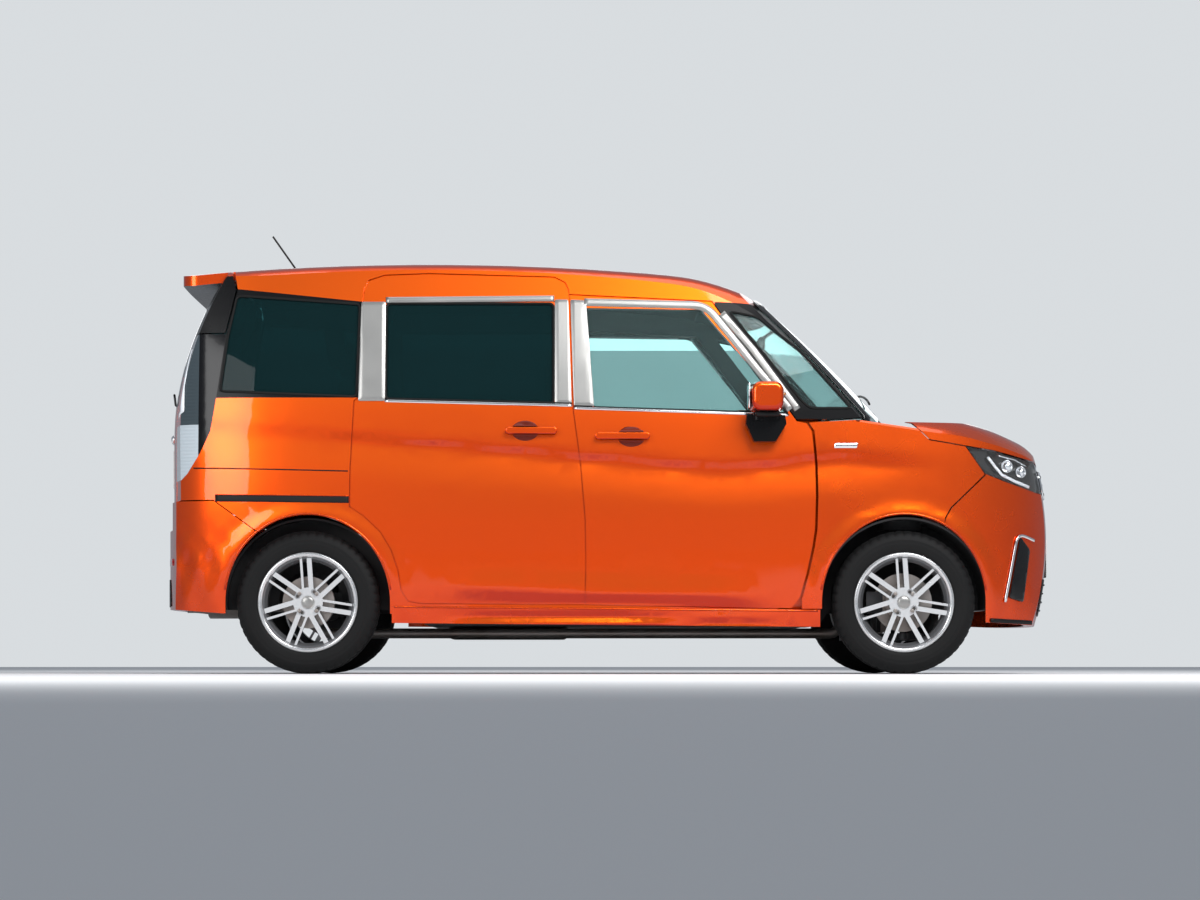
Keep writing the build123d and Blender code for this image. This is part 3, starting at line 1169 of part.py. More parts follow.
with BuildPart() as exhaust:
    with BuildLine() as pipe_path:
        FilletPolyline((front_axle - 70 - SEAT_GAP, -60, 300), (front_axle - 120, -60, 300),
                       (front_axle - 240, -60, pipe_z),
                       (rear_axle + 30, -60, pipe_z), (rear_axle - 150, -60, 290),
                       (rear_axle - 260, -60, 290), radius=40)
    with BuildSketch(Plane(origin=(front_axle - 70 - SEAT_GAP, -60, 300), z_dir=(-1, 0, 0))):
        Circle(22)
    sweep()
    with BuildSketch(Plane.YZ.offset(rear_axle - 470)):
        with Locations((-110, 300)):
            Ellipse(170, 62)
    extrude(amount=230)
    with BuildSketch(Plane.YZ.offset(-half_length + 84)):
        with Locations((-240, 285)):
            Circle(24)
    extrude(amount=116)
    with BuildSketch(Plane.YZ.offset(rear_axle - 355)):
        with Locations((-110, 380)):
            Rectangle(60, 2 * (REAR_FLOOR_HEIGHT - 40 - SEAT_GAP - 380))
    extrude(amount=20)
finish(exhaust, "exhaust")

# Cabin: dashboard with its column, steering wheel, seats, cowl
dash_face = bulkhead_x - SEAT_GAP
WHEEL_SIDE = -370
COLUMN_ANGLE = 25
column_top = (front_axle - 850, WHEEL_SIDE, BELT_HEIGHT - 190)
column_plane = Plane(origin=column_top, x_dir=(0, 1, 0),
                     z_dir=(cos(radians(COLUMN_ANGLE)), 0, -sin(radians(COLUMN_ANGLE))))
with BuildPart() as dashboard:
    with BuildSketch(Plane.XZ.offset(-inner_half + 45)):
        with BuildLine():
            Polyline((front_axle - 585, BELT_HEIGHT - 350), (front_axle - 620, BELT_HEIGHT - 210),
                     (front_axle - 545, BELT_HEIGHT - 120), (front_axle - 330, BELT_HEIGHT - 70),
                     (dash_face, BELT_HEIGHT - 65), (dash_face, BELT_HEIGHT - 300),
                     (front_axle - 465, BELT_HEIGHT - 410), close=True)
        make_face()
    extrude(amount=2 * inner_half - 90)
    with BuildSketch(Plane.XZ.offset(-WHEEL_SIDE - 180)):
        with BuildLine():
            Polyline((front_axle - 605, BELT_HEIGHT - 130), (front_axle - 608, BELT_HEIGHT - 62),
                     (front_axle - 580, BELT_HEIGHT - 46), (front_axle - 440, BELT_HEIGHT - 50),
                     (front_axle - 420, BELT_HEIGHT - 110), close=True)
        make_face()
    extrude(amount=360)
    with BuildSketch(Plane.XZ.offset(-130)):
        with BuildLine():
            Polyline((front_axle - 572, BELT_HEIGHT - 180), (front_axle - 566, BELT_HEIGHT - 36),
                     (front_axle - 548, BELT_HEIGHT - 36), (front_axle - 500, BELT_HEIGHT - 130), close=True)
        make_face()
    extrude(amount=260)
    with BuildSketch(column_plane.offset(30)):
        Circle(24)
    extrude(amount=260)
    with BuildSketch(column_plane.offset(2)):
        Circle(12)
    extrude(amount=60)
finish(dashboard, "dashboard")
STEERING_RADIUS = 180
with BuildPart() as steering_wheel:
    with BuildSketch(Plane(origin=column_plane.origin, x_dir=column_plane.z_dir,
                           z_dir=column_plane.y_dir)):
        with Locations((-20, STEERING_RADIUS)):
            Circle(14)
    revolve(axis=Axis(column_top, column_plane.z_dir))
    with BuildSketch(column_plane.offset(-30)):
        Circle(65)
        Rectangle(40, STEERING_RADIUS, align=(Align.CENTER, Align.MAX))
        Rectangle(2 * STEERING_RADIUS, 36)
    extrude(amount=20)
    with BuildSketch(column_plane.offset(-12)):
        Circle(30)
    extrude(amount=38)
    with BuildSketch(column_plane.offset(-5)):
        Circle(12 + SEAT_GAP)
    extrude(amount=80, mode=Mode.SUBTRACT)
finish(steering_wheel, "steering_wheel")

SEAT_WIDTH = 480
SEAT_HALF = 365


def seat(x, y, z, width, head_places):
    """Cushion, reclined back and head restraints over one origin on the floor."""
    with BuildPart() as solid:
        with BuildSketch(Plane.XZ.offset(-y - width / 2)):
            with BuildLine():
                Polyline((x + 485, z + 190), (x + 500, z + 270), (x + 470, z + 312),
                         (x + 105, z + 290), (x - 100, z + 860), (x - 135, z + 885),
                         (x - 195, z + 875), (x - 220, z + 840), (x - 20, z + 295),
                         (x - 3, z + 278), (x + 10, z + 190), close=True)
            make_face()
        extrude(amount=width)
        with BuildSketch(Plane.XY.offset(z + SEAT_GAP)):
            with Locations((x + 270, y)):
                Rectangle(330, width - 100)
        extrude(amount=200)
        for head in head_places:
            with BuildSketch(Plane.XZ.offset(-y - head - 120)):
                with BuildLine():
                    Polyline((x - 150, z + 905), (x - 140, z + 1040), (x - 165, z + 1075),
                             (x - 215, z + 1070), (x - 240, z + 1020), (x - 235, z + 910), close=True)
                make_face()
            extrude(amount=240)
            with BuildSketch(Plane.XY.offset(z + 850)):
                with Locations((x - 185, y + head - 60), (x - 185, y + head + 60)):
                    Circle(7)
            extrude(amount=80)
    return solid.part


with BuildPart() as front_seats:
    add(seat(front_axle - 1260, SEAT_HALF, FLOOR_TOP, SEAT_WIDTH, (0,)))
    add(seat(front_axle - 1260, -SEAT_HALF, FLOOR_TOP, SEAT_WIDTH, (0,)))
finish(front_seats, "front_seats")
with BuildPart() as rear_seats:
    add(seat(rear_axle + 285, 0, SEAT_FLOOR_HEIGHT, 1180, (-380, 380)))
finish(rear_seats, "rear_seats")

with BuildPart() as cowl:
    with BuildSketch(Plane.XY.offset(BELT_HEIGHT - 200 + SEAT_GAP)):
        with Locations((bulkhead_x, 0)):
            Rectangle(cowl_x - 32 - bulkhead_x, 2 * inner_half - 8, align=(Align.MIN, Align.CENTER))
    extrude(amount=240)
    add(screen_space, mode=Mode.SUBTRACT)
    add(layer(bonnet_skin, UP, -BONNET_THICKNESS, 400), mode=Mode.SUBTRACT)
finish(cowl, "cowl")

# Door mirrors and roof antenna
mirror_x = front_axle - 578
mirror_z = BELT_HEIGHT + 33
with BuildPart() as door_mirror:
    with BuildSketch(Plane.XZ.offset(half_width_full + 28)):
        with Locations((mirror_x, mirror_z)):
            RectangleRounded(150, 138, 48)
    extrude(amount=160, taper=4)
    fillet(door_mirror.faces().sort_by(Axis.Y)[0].edges(), radius=20)
    with BuildSketch(Plane.XZ.offset(half_width_full - 60)):
        with BuildLine():
            Polyline((mirror_x - 50, BELT_HEIGHT - 148), (mirror_x + 40, BELT_HEIGHT - 148),
                     (mirror_x + 84, BELT_HEIGHT - 75), (mirror_x + 78, BELT_HEIGHT - 38),
                     (mirror_x - 80, BELT_HEIGHT - 38), (mirror_x - 84, BELT_HEIGHT - 75), close=True)
        make_face()
    extrude(amount=110)
    with BuildSketch(Plane.XY.offset(BELT_HEIGHT - 60)):
        with Locations((mirror_x, -half_width_full - 45)):
            RectangleRounded(110, 60, 20)
    extrude(amount=60)
    add(layer(side_skin, OUTWARD, -200, SEAT_GAP), mode=Mode.SUBTRACT)
finish_left_and_right(door_mirror.part, "door_mirror")

antenna_x = rear_axle - 90
antenna_z = roof_z(antenna_x, 0)
antenna_slope = (roof_z(antenna_x + 22, 0) - roof_z(antenna_x - 22, 0)) / 44
with BuildPart() as antenna:
    with BuildSketch(Plane(origin=(antenna_x, 0, antenna_z + SEAT_GAP), z_dir=(-antenna_slope, 0, 1))):
        Circle(22)
    extrude(amount=26, taper=24)
    with BuildSketch(Plane(origin=(antenna_x, 0, antenna_z + 14),
                           z_dir=(-131, 0, HEIGHT + 170 - antenna_z))):
        Circle(4)
    extrude(amount=206)
finish(antenna, "antenna")
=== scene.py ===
"""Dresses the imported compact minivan: paint, trim, glass, lamps, tyres, seats and cabin."""

from math import atan2, cos, pi, radians, sin, sqrt

import bmesh
import bpy
from mathutils import Matrix, Vector
from mathutils.bvhtree import BVHTree


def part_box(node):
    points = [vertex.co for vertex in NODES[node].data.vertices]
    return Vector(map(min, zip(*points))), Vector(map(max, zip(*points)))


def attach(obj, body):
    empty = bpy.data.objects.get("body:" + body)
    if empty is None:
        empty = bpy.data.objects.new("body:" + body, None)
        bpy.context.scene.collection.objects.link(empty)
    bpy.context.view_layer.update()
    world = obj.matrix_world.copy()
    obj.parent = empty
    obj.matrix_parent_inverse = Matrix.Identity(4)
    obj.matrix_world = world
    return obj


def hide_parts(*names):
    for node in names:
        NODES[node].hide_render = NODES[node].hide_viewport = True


bl_info = {
    "name": "Minivan Dresser",
    "version": (1, 0, 0),
    "blender": (4, 5, 0),
    "location": "3D View > Sidebar > Minivan",
    "description": "Builds the trim, lamps, tyres, seats and finishes of a compact minivan",
    "category": "Object",
}

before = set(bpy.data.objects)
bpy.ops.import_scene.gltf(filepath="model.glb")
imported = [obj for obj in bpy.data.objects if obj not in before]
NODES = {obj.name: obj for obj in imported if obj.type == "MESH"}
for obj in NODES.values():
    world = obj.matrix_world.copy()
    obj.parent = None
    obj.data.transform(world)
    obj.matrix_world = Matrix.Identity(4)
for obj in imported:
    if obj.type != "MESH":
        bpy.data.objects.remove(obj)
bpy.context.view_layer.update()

SIDES = (("right", -1), ("left", 1))
CORNERS = [(end, side, sign) for end in ("front", "rear") for side, sign in SIDES]


def centre_of(node):
    """Middle of a CAD node's box."""
    low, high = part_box(node)
    return (Vector(low) + Vector(high)) / 2


TYRE_RADIUS = (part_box("tyre_front_right")[1][2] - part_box("tyre_front_right")[0][2]) / 2
WHEEL_CENTRES = {(end, side): centre_of(f"tyre_{end}_{side}") for end, side, _ in CORNERS}
FRONT_X = WHEEL_CENTRES["front", "right"].x
REAR_X = WHEEL_CENTRES["rear", "right"].x
AXLE_Z = WHEEL_CENTRES["front", "right"].z
BELT_Z = 1.110

# A piece laid on a surface starts this far above it and reaches this far below it.
SKIN_LIFT = 0.0006
SKIN_SINK = 0.002
# Extra rays at these distances bridge a shut line, or the seam of the roof.
SHUT_LINE_REACH = 0.009
ROOF_SEAM_REACH = 0.014
MERGE_DISTANCE = 0.00002


# ---------------------------------------------------------------- mesh helpers
def new_object(name, bm, material, smooth=True):
    """Mesh object from a bmesh, with outward normals."""
    bmesh.ops.recalc_face_normals(bm, faces=bm.faces[:])
    mesh = bpy.data.meshes.new(name)
    bm.to_mesh(mesh)
    bm.free()
    mesh.materials.append(material)
    for polygon in mesh.polygons:
        polygon.use_smooth = smooth
    obj = bpy.data.objects.new(name, mesh)
    bpy.context.scene.collection.objects.link(obj)
    return obj


def bevelled(obj, width, segments, angle):
    """Rounds the hard edges of an object."""
    modifier = obj.modifiers.new("Bevel", "BEVEL")
    modifier.width = width
    modifier.segments = segments
    modifier.limit_method = "ANGLE"
    modifier.angle_limit = radians(angle)
    return obj


def put(obj, body):
    """Hands a finished piece to its body."""
    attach(obj, body)
    return obj


def curve_points(points, spacing):
    """Points at an even spacing along a polyline of 2-D or 3-D points."""
    result = [Vector(points[0])]
    for start, end in zip(points, points[1:]):
        start = Vector(start)
        end = Vector(end)
        steps = max(1, int((end - start).length / spacing))
        result += [start.lerp(end, (step + 1) / steps) for step in range(steps)]
    return result


def rounded(points, radius, steps=4, closed=True):
    """Outline whose corners are rounded by short curves."""
    count = len(points)
    result = []
    for index in range(count):
        here = Vector(points[index])
        if not closed and index in (0, count - 1):
            result.append(here)
            continue
        before = Vector(points[index - 1]) - here
        after = Vector(points[(index + 1) % count]) - here
        reach = min(radius, before.length * 0.45, after.length * 0.45)
        start = here + before.normalized() * reach
        end = here + after.normalized() * reach
        for step in range(steps + 1):
            share = step / steps
            result.append(start.lerp(here, share).lerp(here.lerp(end, share), share))
    return result


def crossed(reach):
    """A middle and the four places at a distance round it."""
    return (0, 0), (reach, 0), (-reach, 0), (0, reach), (0, -reach)


class Skin:
    """The outer surface of some CAD nodes, met along one direction."""

    def __init__(self, nodes):
        vertices = []
        polygons = []
        for node in nodes:
            mesh = NODES[node].data
            base = len(vertices)
            world = NODES[node].matrix_world
            vertices += [world @ vertex.co for vertex in mesh.vertices]
            polygons += [[base + index for index in polygon.vertices] for polygon in mesh.polygons]
        self.tree = BVHTree.FromPolygons(vertices, polygons)

    def met(self, starts, direction, reach):
        """Points where rays from some starts meet the surface."""
        hits = [self.tree.ray_cast(Vector(start), Vector(direction), reach)[0] for start in starts]
        return [hit for hit in hits if hit is not None]

    def side(self, x, z, sign):
        """Y of the side surface at a height and station, bridging the shut lines."""
        starts = [(x + dx, sign * 1.3, z + dz) for dx, dz in crossed(SHUT_LINE_REACH)]
        return sign * max([abs(hit.y) for hit in self.met(starts, (0, -sign, 0), 0.9)], default=0.75)

    def end(self, y, z, sign):
        """X of the nose (sign 1) or the tail (sign -1) surface."""
        starts = [(sign * 2.4, y + dy, z + dz) for dy, dz in crossed(SHUT_LINE_REACH)]
        return sign * max([sign * hit.x for hit in self.met(starts, (-sign, 0, 0), 2.2)], default=1.8)

    def top(self, x, y):
        """Z of the surface met from above."""
        starts = [(x + dx, y + dy, 2.4) for dx, dy in crossed(ROOF_SEAM_REACH)]
        return max([hit.z for hit in self.met(starts, (0, 0, -1), 2.3)], default=1.0)


def ribbon(name, path, width, crown, material, place, closed=False, spacing=0.015, across=5,
           lift=SKIN_LIFT):
    """Crowned moulding that follows a 2-D path over a surface; place(u, v, out) gives its points."""
    points = curve_points(list(path) + ([path[0]] if closed else []), spacing)
    if closed:
        points = points[:-1]
    bm = bmesh.new()
    rows = []
    count = len(points)
    for index, point in enumerate(points):
        before = points[index - 1] if closed or index else point
        after = points[(index + 1) % count] if closed or index < count - 1 else point
        tangent = (after - before).normalized()
        normal = Vector((-tangent.y, tangent.x))
        row = []
        for step in range(across):
            share = 2 * step / (across - 1) - 1
            spot = point + normal * (share * width / 2)
            height = lift + crown * sqrt(max(0, 1 - abs(share) ** 2.5))
            row.append(bm.verts.new(place(spot.x, spot.y, height)))
        for reach in (width / 2, -width / 2):
            spot = point + normal * reach
            row.append(bm.verts.new(place(spot.x, spot.y, -SKIN_SINK)))
        rows.append(row)
    pairs = list(zip(rows, rows[1:])) + ([(rows[-1], rows[0])] if closed else [])
    size = across + 2
    for one, two in pairs:
        for step in range(size):
            after = (step + 1) % size
            bm.faces.new((one[step], one[after], two[after], two[step]))
    if not closed:
        bm.faces.new(rows[0])
        bm.faces.new(rows[-1][::-1])
    return new_object(name, bm, material)


def cut_across(bm, axis, place):
    """Cuts a mesh through at a place along one axis."""
    spot = [0, 0, 0]
    spot[axis] = place
    normal = [0, 0, 0]
    normal[axis] = 1
    everything = bm.verts[:] + bm.edges[:] + bm.faces[:]
    bmesh.ops.bisect_plane(bm, geom=everything, plane_co=spot, plane_no=normal)


def patch(name, outline, thickness, material, place, grid=0.02, lift=SKIN_LIFT, crown=0.0):
    """Thin panel with a given 2-D outline laid over a surface."""
    bm = bmesh.new()
    corners = [bm.verts.new((point[0], point[1], 0)) for point in outline]
    bm.faces.new(corners)
    low_u = min(point[0] for point in outline)
    high_u = max(point[0] for point in outline)
    low_v = min(point[1] for point in outline)
    high_v = max(point[1] for point in outline)
    for axis, low, high in ((0, low_u, high_u), (1, low_v, high_v)):
        steps = int((high - low) / grid)
        for step in range(1, steps + 1):
            cut_across(bm, axis, low + step * (high - low) / (steps + 1))
    middle = Vector(((low_u + high_u) / 2, (low_v + high_v) / 2))
    reach = Vector(((high_u - low_u) / 2, (high_v - low_v) / 2))
    extruded = bmesh.ops.extrude_face_region(bm, geom=bm.faces[:])
    upper = {item for item in extruded["geom"] if isinstance(item, bmesh.types.BMVert)}
    for vertex in bm.verts:
        u, v = vertex.co.x, vertex.co.y
        share = max(abs(u - middle.x) / reach.x, abs(v - middle.y) / reach.y)
        height = lift + thickness + crown * (1 - share * share) if vertex in upper else -SKIN_SINK
        vertex.co = place(u, v, height)
    obj = new_object(name, bm, material)
    return bevelled(obj, thickness * 0.3, 1, 50)


def spun(bm, profile, centre, steps, flip=1):
    """Spins a (radius, y) profile a full turn about a Y axis through a centre."""
    verts = [bm.verts.new((centre.x + radius, centre.y + flip * y, centre.z)) for radius, y in profile]
    edges = [bm.edges.new(pair) for pair in zip(verts, verts[1:])]
    bmesh.ops.spin(bm, geom=verts + edges, cent=centre, axis=(0, 1, 0), angle=2 * pi, steps=steps,
                   use_merge=True)
    bmesh.ops.remove_doubles(bm, verts=bm.verts[:], dist=MERGE_DISTANCE)


def lathe(name, profile, material, centre, steps, flip):
    """Body of revolution about a Y axis; flip -1 turns its outer side to the right."""
    bm = bmesh.new()
    spun(bm, profile, centre, steps, flip)
    return new_object(name, bm, material)


def tube(name, points, radius, material, sides=12, spacing=0.02):
    """Round bar along a smooth 3-D path."""
    path = curve_points(points, spacing)
    bm = bmesh.new()
    rings = []
    turns = [2 * pi * k / sides for k in range(sides)]
    for index, point in enumerate(path):
        tangent = (path[min(index + 1, len(path) - 1)] - path[max(index - 1, 0)]).normalized()
        across = tangent.cross(Vector((0, 0, 1)))
        if across.length < 0.1:
            across = tangent.cross(Vector((0, 1, 0)))
        across.normalize()
        up = across.cross(tangent)
        rings.append([bm.verts.new(point + (across * cos(turn) + up * sin(turn)) * radius)
                      for turn in turns])
    for one, two in zip(rings, rings[1:]):
        for k in range(sides):
            bm.faces.new((one[k], one[(k + 1) % sides], two[(k + 1) % sides], two[k]))
    bm.faces.new(rings[0])
    bm.faces.new(rings[-1][::-1])
    return new_object(name, bm, material)


def slab(name, low, high, material, round_by=0.008, segments=3):
    """Box with well-rounded edges."""
    bm = bmesh.new()
    bmesh.ops.create_cube(bm, size=1)
    low = Vector(low)
    high = Vector(high)
    for vertex in bm.verts:
        vertex.co = Vector([low[k] + (vertex.co[k] + 0.5) * (high[k] - low[k]) for k in range(3)])
    bmesh.ops.bevel(bm, geom=bm.edges[:] + bm.verts[:], offset=round_by, segments=segments,
                    affect="EDGES", profile=0.5, material=-1)
    return new_object(name, bm, material)


def join(name, objects):
    """One object from several."""
    bm = bmesh.new()
    for obj in objects:
        bm.from_mesh(obj.data)
    material = objects[0].data.materials[0]
    for obj in objects:
        bpy.data.objects.remove(obj)
    return new_object(name, bm, material)


# ---------------------------------------------------------------- materials
class Shader:
    """Short way to write a node material."""

    def __init__(self, name):
        self.material = bpy.data.materials.new(name)
        self.material.use_nodes = True
        self.tree = self.material.node_tree
        self.tree.nodes.clear()
        self.output = self.tree.nodes.new("ShaderNodeOutputMaterial")
        self.principled = self.tree.nodes.new("ShaderNodeBsdfPrincipled")
        self.tree.links.new(self.principled.outputs[0], self.output.inputs[0])
        self.coordinates = self.tree.nodes.new("ShaderNodeTexCoord")

    def node(self, kind, **values):
        """New shader node with some of its settings."""
        made = self.tree.nodes.new("ShaderNode" + kind)
        for key, value in values.items():
            setattr(made, key, value)
        return made

    def link(self, source, target):
        """Joins an output to a socket."""
        self.tree.links.new(source, target)

    def feed(self, socket, value):
        """Joins an output to a socket, or gives the socket a value of its own."""
        if hasattr(value, "links"):
            self.link(value, socket)
        else:
            socket.default_value = value

    def set(self, **values):
        """Feeds the principled shader's sockets, named with underscores."""
        for key, value in values.items():
            self.feed(self.principled.inputs[key.replace("_", " ")], value)

    def textured(self, kind, scale, **values):
        """Texture node over the object's own coordinates."""
        made = self.node("Tex" + kind, **values)
        made.inputs["Scale"].default_value = scale
        self.link(self.coordinates.outputs["Object"], made.inputs["Vector"])
        return made

    def place_group(self, group, **values):
        """A shared node group over the object's own coordinates."""
        made = self.node("Group", node_tree=group)
        for key, value in values.items():
            made.inputs[key].default_value = value
        self.link(self.coordinates.outputs["Object"], made.inputs["Vector"])
        return made

    def bump(self, height, strength, distance):
        """Raises the shading where a mask is high."""
        made = self.node("Bump")
        self.feed(made.inputs["Strength"], strength)
        made.inputs["Distance"].default_value = distance
        self.link(height, made.inputs["Height"])
        self.set(Normal=made.outputs["Normal"])

    def mix(self, share, first, second):
        """Blend of two colours."""
        made = self.node("Mix", data_type="RGBA")
        for socket, value in (("Factor", share), (6, first), (7, second)):
            self.feed(made.inputs[socket], value)
        return made.outputs[2]

    def maths(self, operation, first, second=0.0, third=0.0, clamp=False):
        """Result of one sum."""
        made = self.node("Math", operation=operation, use_clamp=clamp)
        for socket, value in zip(made.inputs, (first, second, third)):
            self.feed(socket, value)
        return made.outputs[0]

    def xyz(self):
        """Place of the shaded point in the vehicle."""
        made = self.node("SeparateXYZ")
        self.link(self.coordinates.outputs["Object"], made.inputs[0])
        return made.outputs

    def normal_xyz(self):
        """Way that the shaded point faces."""
        made = self.node("SeparateXYZ")
        self.link(self.node("NewGeometry").outputs["Normal"], made.inputs[0])
        return made.outputs


def grain_group():
    """Fine uneven surface: a normal, a roughness and a mottle mask."""
    group = bpy.data.node_groups.new("fine_grain", "ShaderNodeTree")
    sockets = group.interface
    sockets.new_socket("Vector", in_out="INPUT", socket_type="NodeSocketVector")
    for name, value in (("Scale", 800), ("Depth", 0.2), ("Roughness", 0.5), ("Spread", 0.1)):
        sockets.new_socket(name, in_out="INPUT", socket_type="NodeSocketFloat").default_value = value
    for name, kind in (("Normal", "Vector"), ("Rough", "Float"), ("Mottle", "Float")):
        sockets.new_socket(name, in_out="OUTPUT", socket_type="NodeSocket" + kind)
    nodes = group.nodes
    start = nodes.new("NodeGroupInput")
    end = nodes.new("NodeGroupOutput")
    fine = nodes.new("ShaderNodeTexNoise")
    fine.inputs["Detail"].default_value = 3
    group.links.new(start.outputs["Vector"], fine.inputs["Vector"])
    group.links.new(start.outputs["Scale"], fine.inputs["Scale"])
    coarse = nodes.new("ShaderNodeTexNoise")
    coarse.inputs["Scale"].default_value = 6
    coarse.inputs["Detail"].default_value = 4
    group.links.new(start.outputs["Vector"], coarse.inputs["Vector"])
    bump = nodes.new("ShaderNodeBump")
    bump.inputs["Distance"].default_value = 0.0004
    group.links.new(start.outputs["Depth"], bump.inputs["Strength"])
    group.links.new(fine.outputs["Fac"], bump.inputs["Height"])
    centred = nodes.new("ShaderNodeMath")
    centred.operation = "SUBTRACT"
    centred.inputs[1].default_value = 0.5
    group.links.new(coarse.outputs["Fac"], centred.inputs[0])
    spread = nodes.new("ShaderNodeMath")
    spread.operation = "MULTIPLY_ADD"
    group.links.new(centred.outputs[0], spread.inputs[0])
    group.links.new(start.outputs["Spread"], spread.inputs[1])
    group.links.new(start.outputs["Roughness"], spread.inputs[2])
    group.links.new(bump.outputs["Normal"], end.inputs["Normal"])
    group.links.new(spread.outputs[0], end.inputs["Rough"])
    group.links.new(coarse.outputs["Fac"], end.inputs["Mottle"])
    return group


def shade(colour, share):
    """A colour made darker or paler by a share, never past full."""
    return (*(min(1, part * share) for part in colour[:3]), 1)


def grained(shader, group, scale, depth, roughness, spread):
    """Places the shared grain in a material and links it."""
    made = shader.place_group(group, Scale=scale, Depth=depth, Roughness=roughness, Spread=spread)
    shader.set(Normal=made.outputs["Normal"], Roughness=made.outputs["Rough"])
    return made


def plain(name, group, colour, roughness, scale=700, depth=0.1, spread=0.1, metallic=0.0, tint=0.75,
          **values):
    """Grained finish whose colour varies a little from place to place."""
    shader = Shader(name)
    made = grained(shader, group, scale, depth, roughness, spread)
    tone = shader.mix(made.outputs["Mottle"], shade(colour, tint), (*colour, 1))
    shader.set(Base_Color=tone, Metallic=metallic, **values)
    return shader.material


def settings():
    """The scene's dressing settings."""
    return bpy.context.scene.minivan


TRIM_BLACK = (0.003, 0.003, 0.0035, 1)
DOOR_LINING = (0.03, 0.03, 0.032, 1)
# Colour of the painted glint on the paint's flakes.
PAINTED_FLAKE_GLINT = (1.0, 0.42, 0.10, 1)
GATE_BLACK_HEAD_Z = 1.668
MIRROR_SPLIT_Z = 1.082
PAINT_METAL = 0.85
PAINT_COAT = 0.6


def paint_shader(name, group, lined=False, black_areas=None):
    """Metallic paint: flakes with a painted glint under a clear coat, deeper at grazing angles, with painted
    shade on faces turned down and a painted highlight on faces turned up.
    """
    shader = Shader(name)
    red, green, blue = settings().paint
    flakes = shader.textured("Voronoi", 2600)
    facing = shader.node("LayerWeight")
    facing.inputs["Blend"].default_value = 0.35
    colour = shader.mix(facing.outputs["Facing"], (red, green, blue, 1), (red * 0.33, green * 0.12, blue, 1))
    # Painted light: faces turned down are painted a deeper red as shade, and faces turned up a paler,
    # yellower orange as highlight that fades out on flat tops.
    tilt = shader.normal_xyz()[2]
    under = shader.maths("MULTIPLY", tilt, -5, clamp=True)
    painted_highlight_fade = shader.maths("SUBTRACT", 2.2, shader.maths("MULTIPLY", tilt, 2.5), clamp=True)
    above = shader.maths("MULTIPLY", shader.maths("MULTIPLY", tilt, 5, clamp=True), painted_highlight_fade)
    # Painted highlight on faces turned up, then painted shade on faces turned down.
    colour = shader.mix(shader.maths("MULTIPLY", above, 0.55), colour, (1.0, green * 1.8, blue * 2, 1))
    colour = shader.mix(under, colour, (red * 0.50, green * 0.26, blue, 1))
    # Painted glint: a few flake cells are tinted towards a bright orange, whatever the lamps do.
    painted_glint = shader.maths("MULTIPLY", shader.maths("GREATER_THAN", flakes.outputs["Color"], 0.86), 0.05)
    colour = shader.mix(painted_glint, colour, PAINTED_FLAKE_GLINT)
    made = shader.place_group(group, Scale=1400, Depth=0.02, Roughness=0.27, Spread=0.05)
    roughness = made.outputs["Rough"]
    metal, coat = PAINT_METAL, PAINT_COAT
    if black_areas:
        black = black_areas(shader)
        colour = shader.mix(black, colour, TRIM_BLACK)
        metal, coat = [shader.maths("MULTIPLY_ADD", black, -full, full) for full in (metal, coat)]
    if lined:
        side = shader.maths("SIGN", shader.xyz()[1])
        inward = shader.maths("LESS_THAN", shader.maths("MULTIPLY", side, shader.normal_xyz()[1]), -0.25)
        colour = shader.mix(inward, colour, DOOR_LINING)
        roughness = shader.maths("MULTIPLY_ADD", inward, 0.45, 0.30)
    shader.set(Base_Color=colour, Roughness=roughness, Normal=made.outputs["Normal"], Metallic=metal,
               Coat_Weight=coat, Coat_Roughness=0.03, Specular_IOR_Level=0.2)
    return shader.material


def sloped_band(shader, start_x, end_x, low_z, high_z, slope):
    """Mask between two stations, over a height and under a line that slopes from the first station."""
    x, _, z = shader.xyz()
    line = shader.maths("MULTIPLY_ADD", shader.maths("SUBTRACT", x, start_x), slope, high_z)
    mask = shader.maths("GREATER_THAN", x, start_x)
    for limit in (shader.maths("LESS_THAN", x, end_x), shader.maths("GREATER_THAN", z, low_z),
                  shader.maths("LESS_THAN", z, line)):
        mask = shader.maths("MULTIPLY", mask, limit)
    return mask


def pillar_mask(shader):
    """Black areas of the side frame: round the front quarter window and behind the sliding door."""
    front = sloped_band(shader, 0.44, 1.2, BELT_Z - 0.052, 1.556, -0.05)
    rear = sloped_band(shader, -1.75, -1.03, BELT_Z + 0.040, 1.632, -0.105)
    return shader.maths("MAXIMUM", front, rear)


def gate_mask(shader):
    """Black upper part of the tailgate, round its window."""
    height = shader.xyz()[2]
    above = shader.maths("GREATER_THAN", height, BELT_Z + 0.02)
    return shader.maths("MULTIPLY", above, shader.maths("LESS_THAN", height, GATE_BLACK_HEAD_Z))


def mirror_mask(shader):
    """Black lower shell and foot of a door mirror."""
    return shader.maths("LESS_THAN", shader.xyz()[2], MIRROR_SPLIT_Z)


def spoiler_mask(shader):
    """Black underside of the roof spoiler."""
    return shader.maths("LESS_THAN", shader.normal_xyz()[2], -0.3)


def glass_shader(name, colour, weight):
    """Tinted glass with faint water marks."""
    shader = Shader(name)
    smears = shader.textured("Noise", 3).outputs["Fac"]
    shader.set(Base_Color=shader.mix(smears, colour, shade(colour, 1.12)),
               Roughness=shader.maths("MULTIPLY", smears, 0.02),
               Transmission_Weight=weight, IOR=1.2, Metallic=0.0)
    return shader.material


def tyre_shader(group):
    """Black rubber, finely moulded, dustier in places."""
    shader = Shader("tyre_rubber")
    made = grained(shader, group, 900, 0.25, 0.62, 0.1)
    tone = shader.mix(made.outputs["Mottle"], (0.003, 0.003, 0.0033, 1), (0.008, 0.008, 0.008, 1))
    shader.set(Base_Color=tone, Specular_IOR_Level=0.2)
    return shader.material


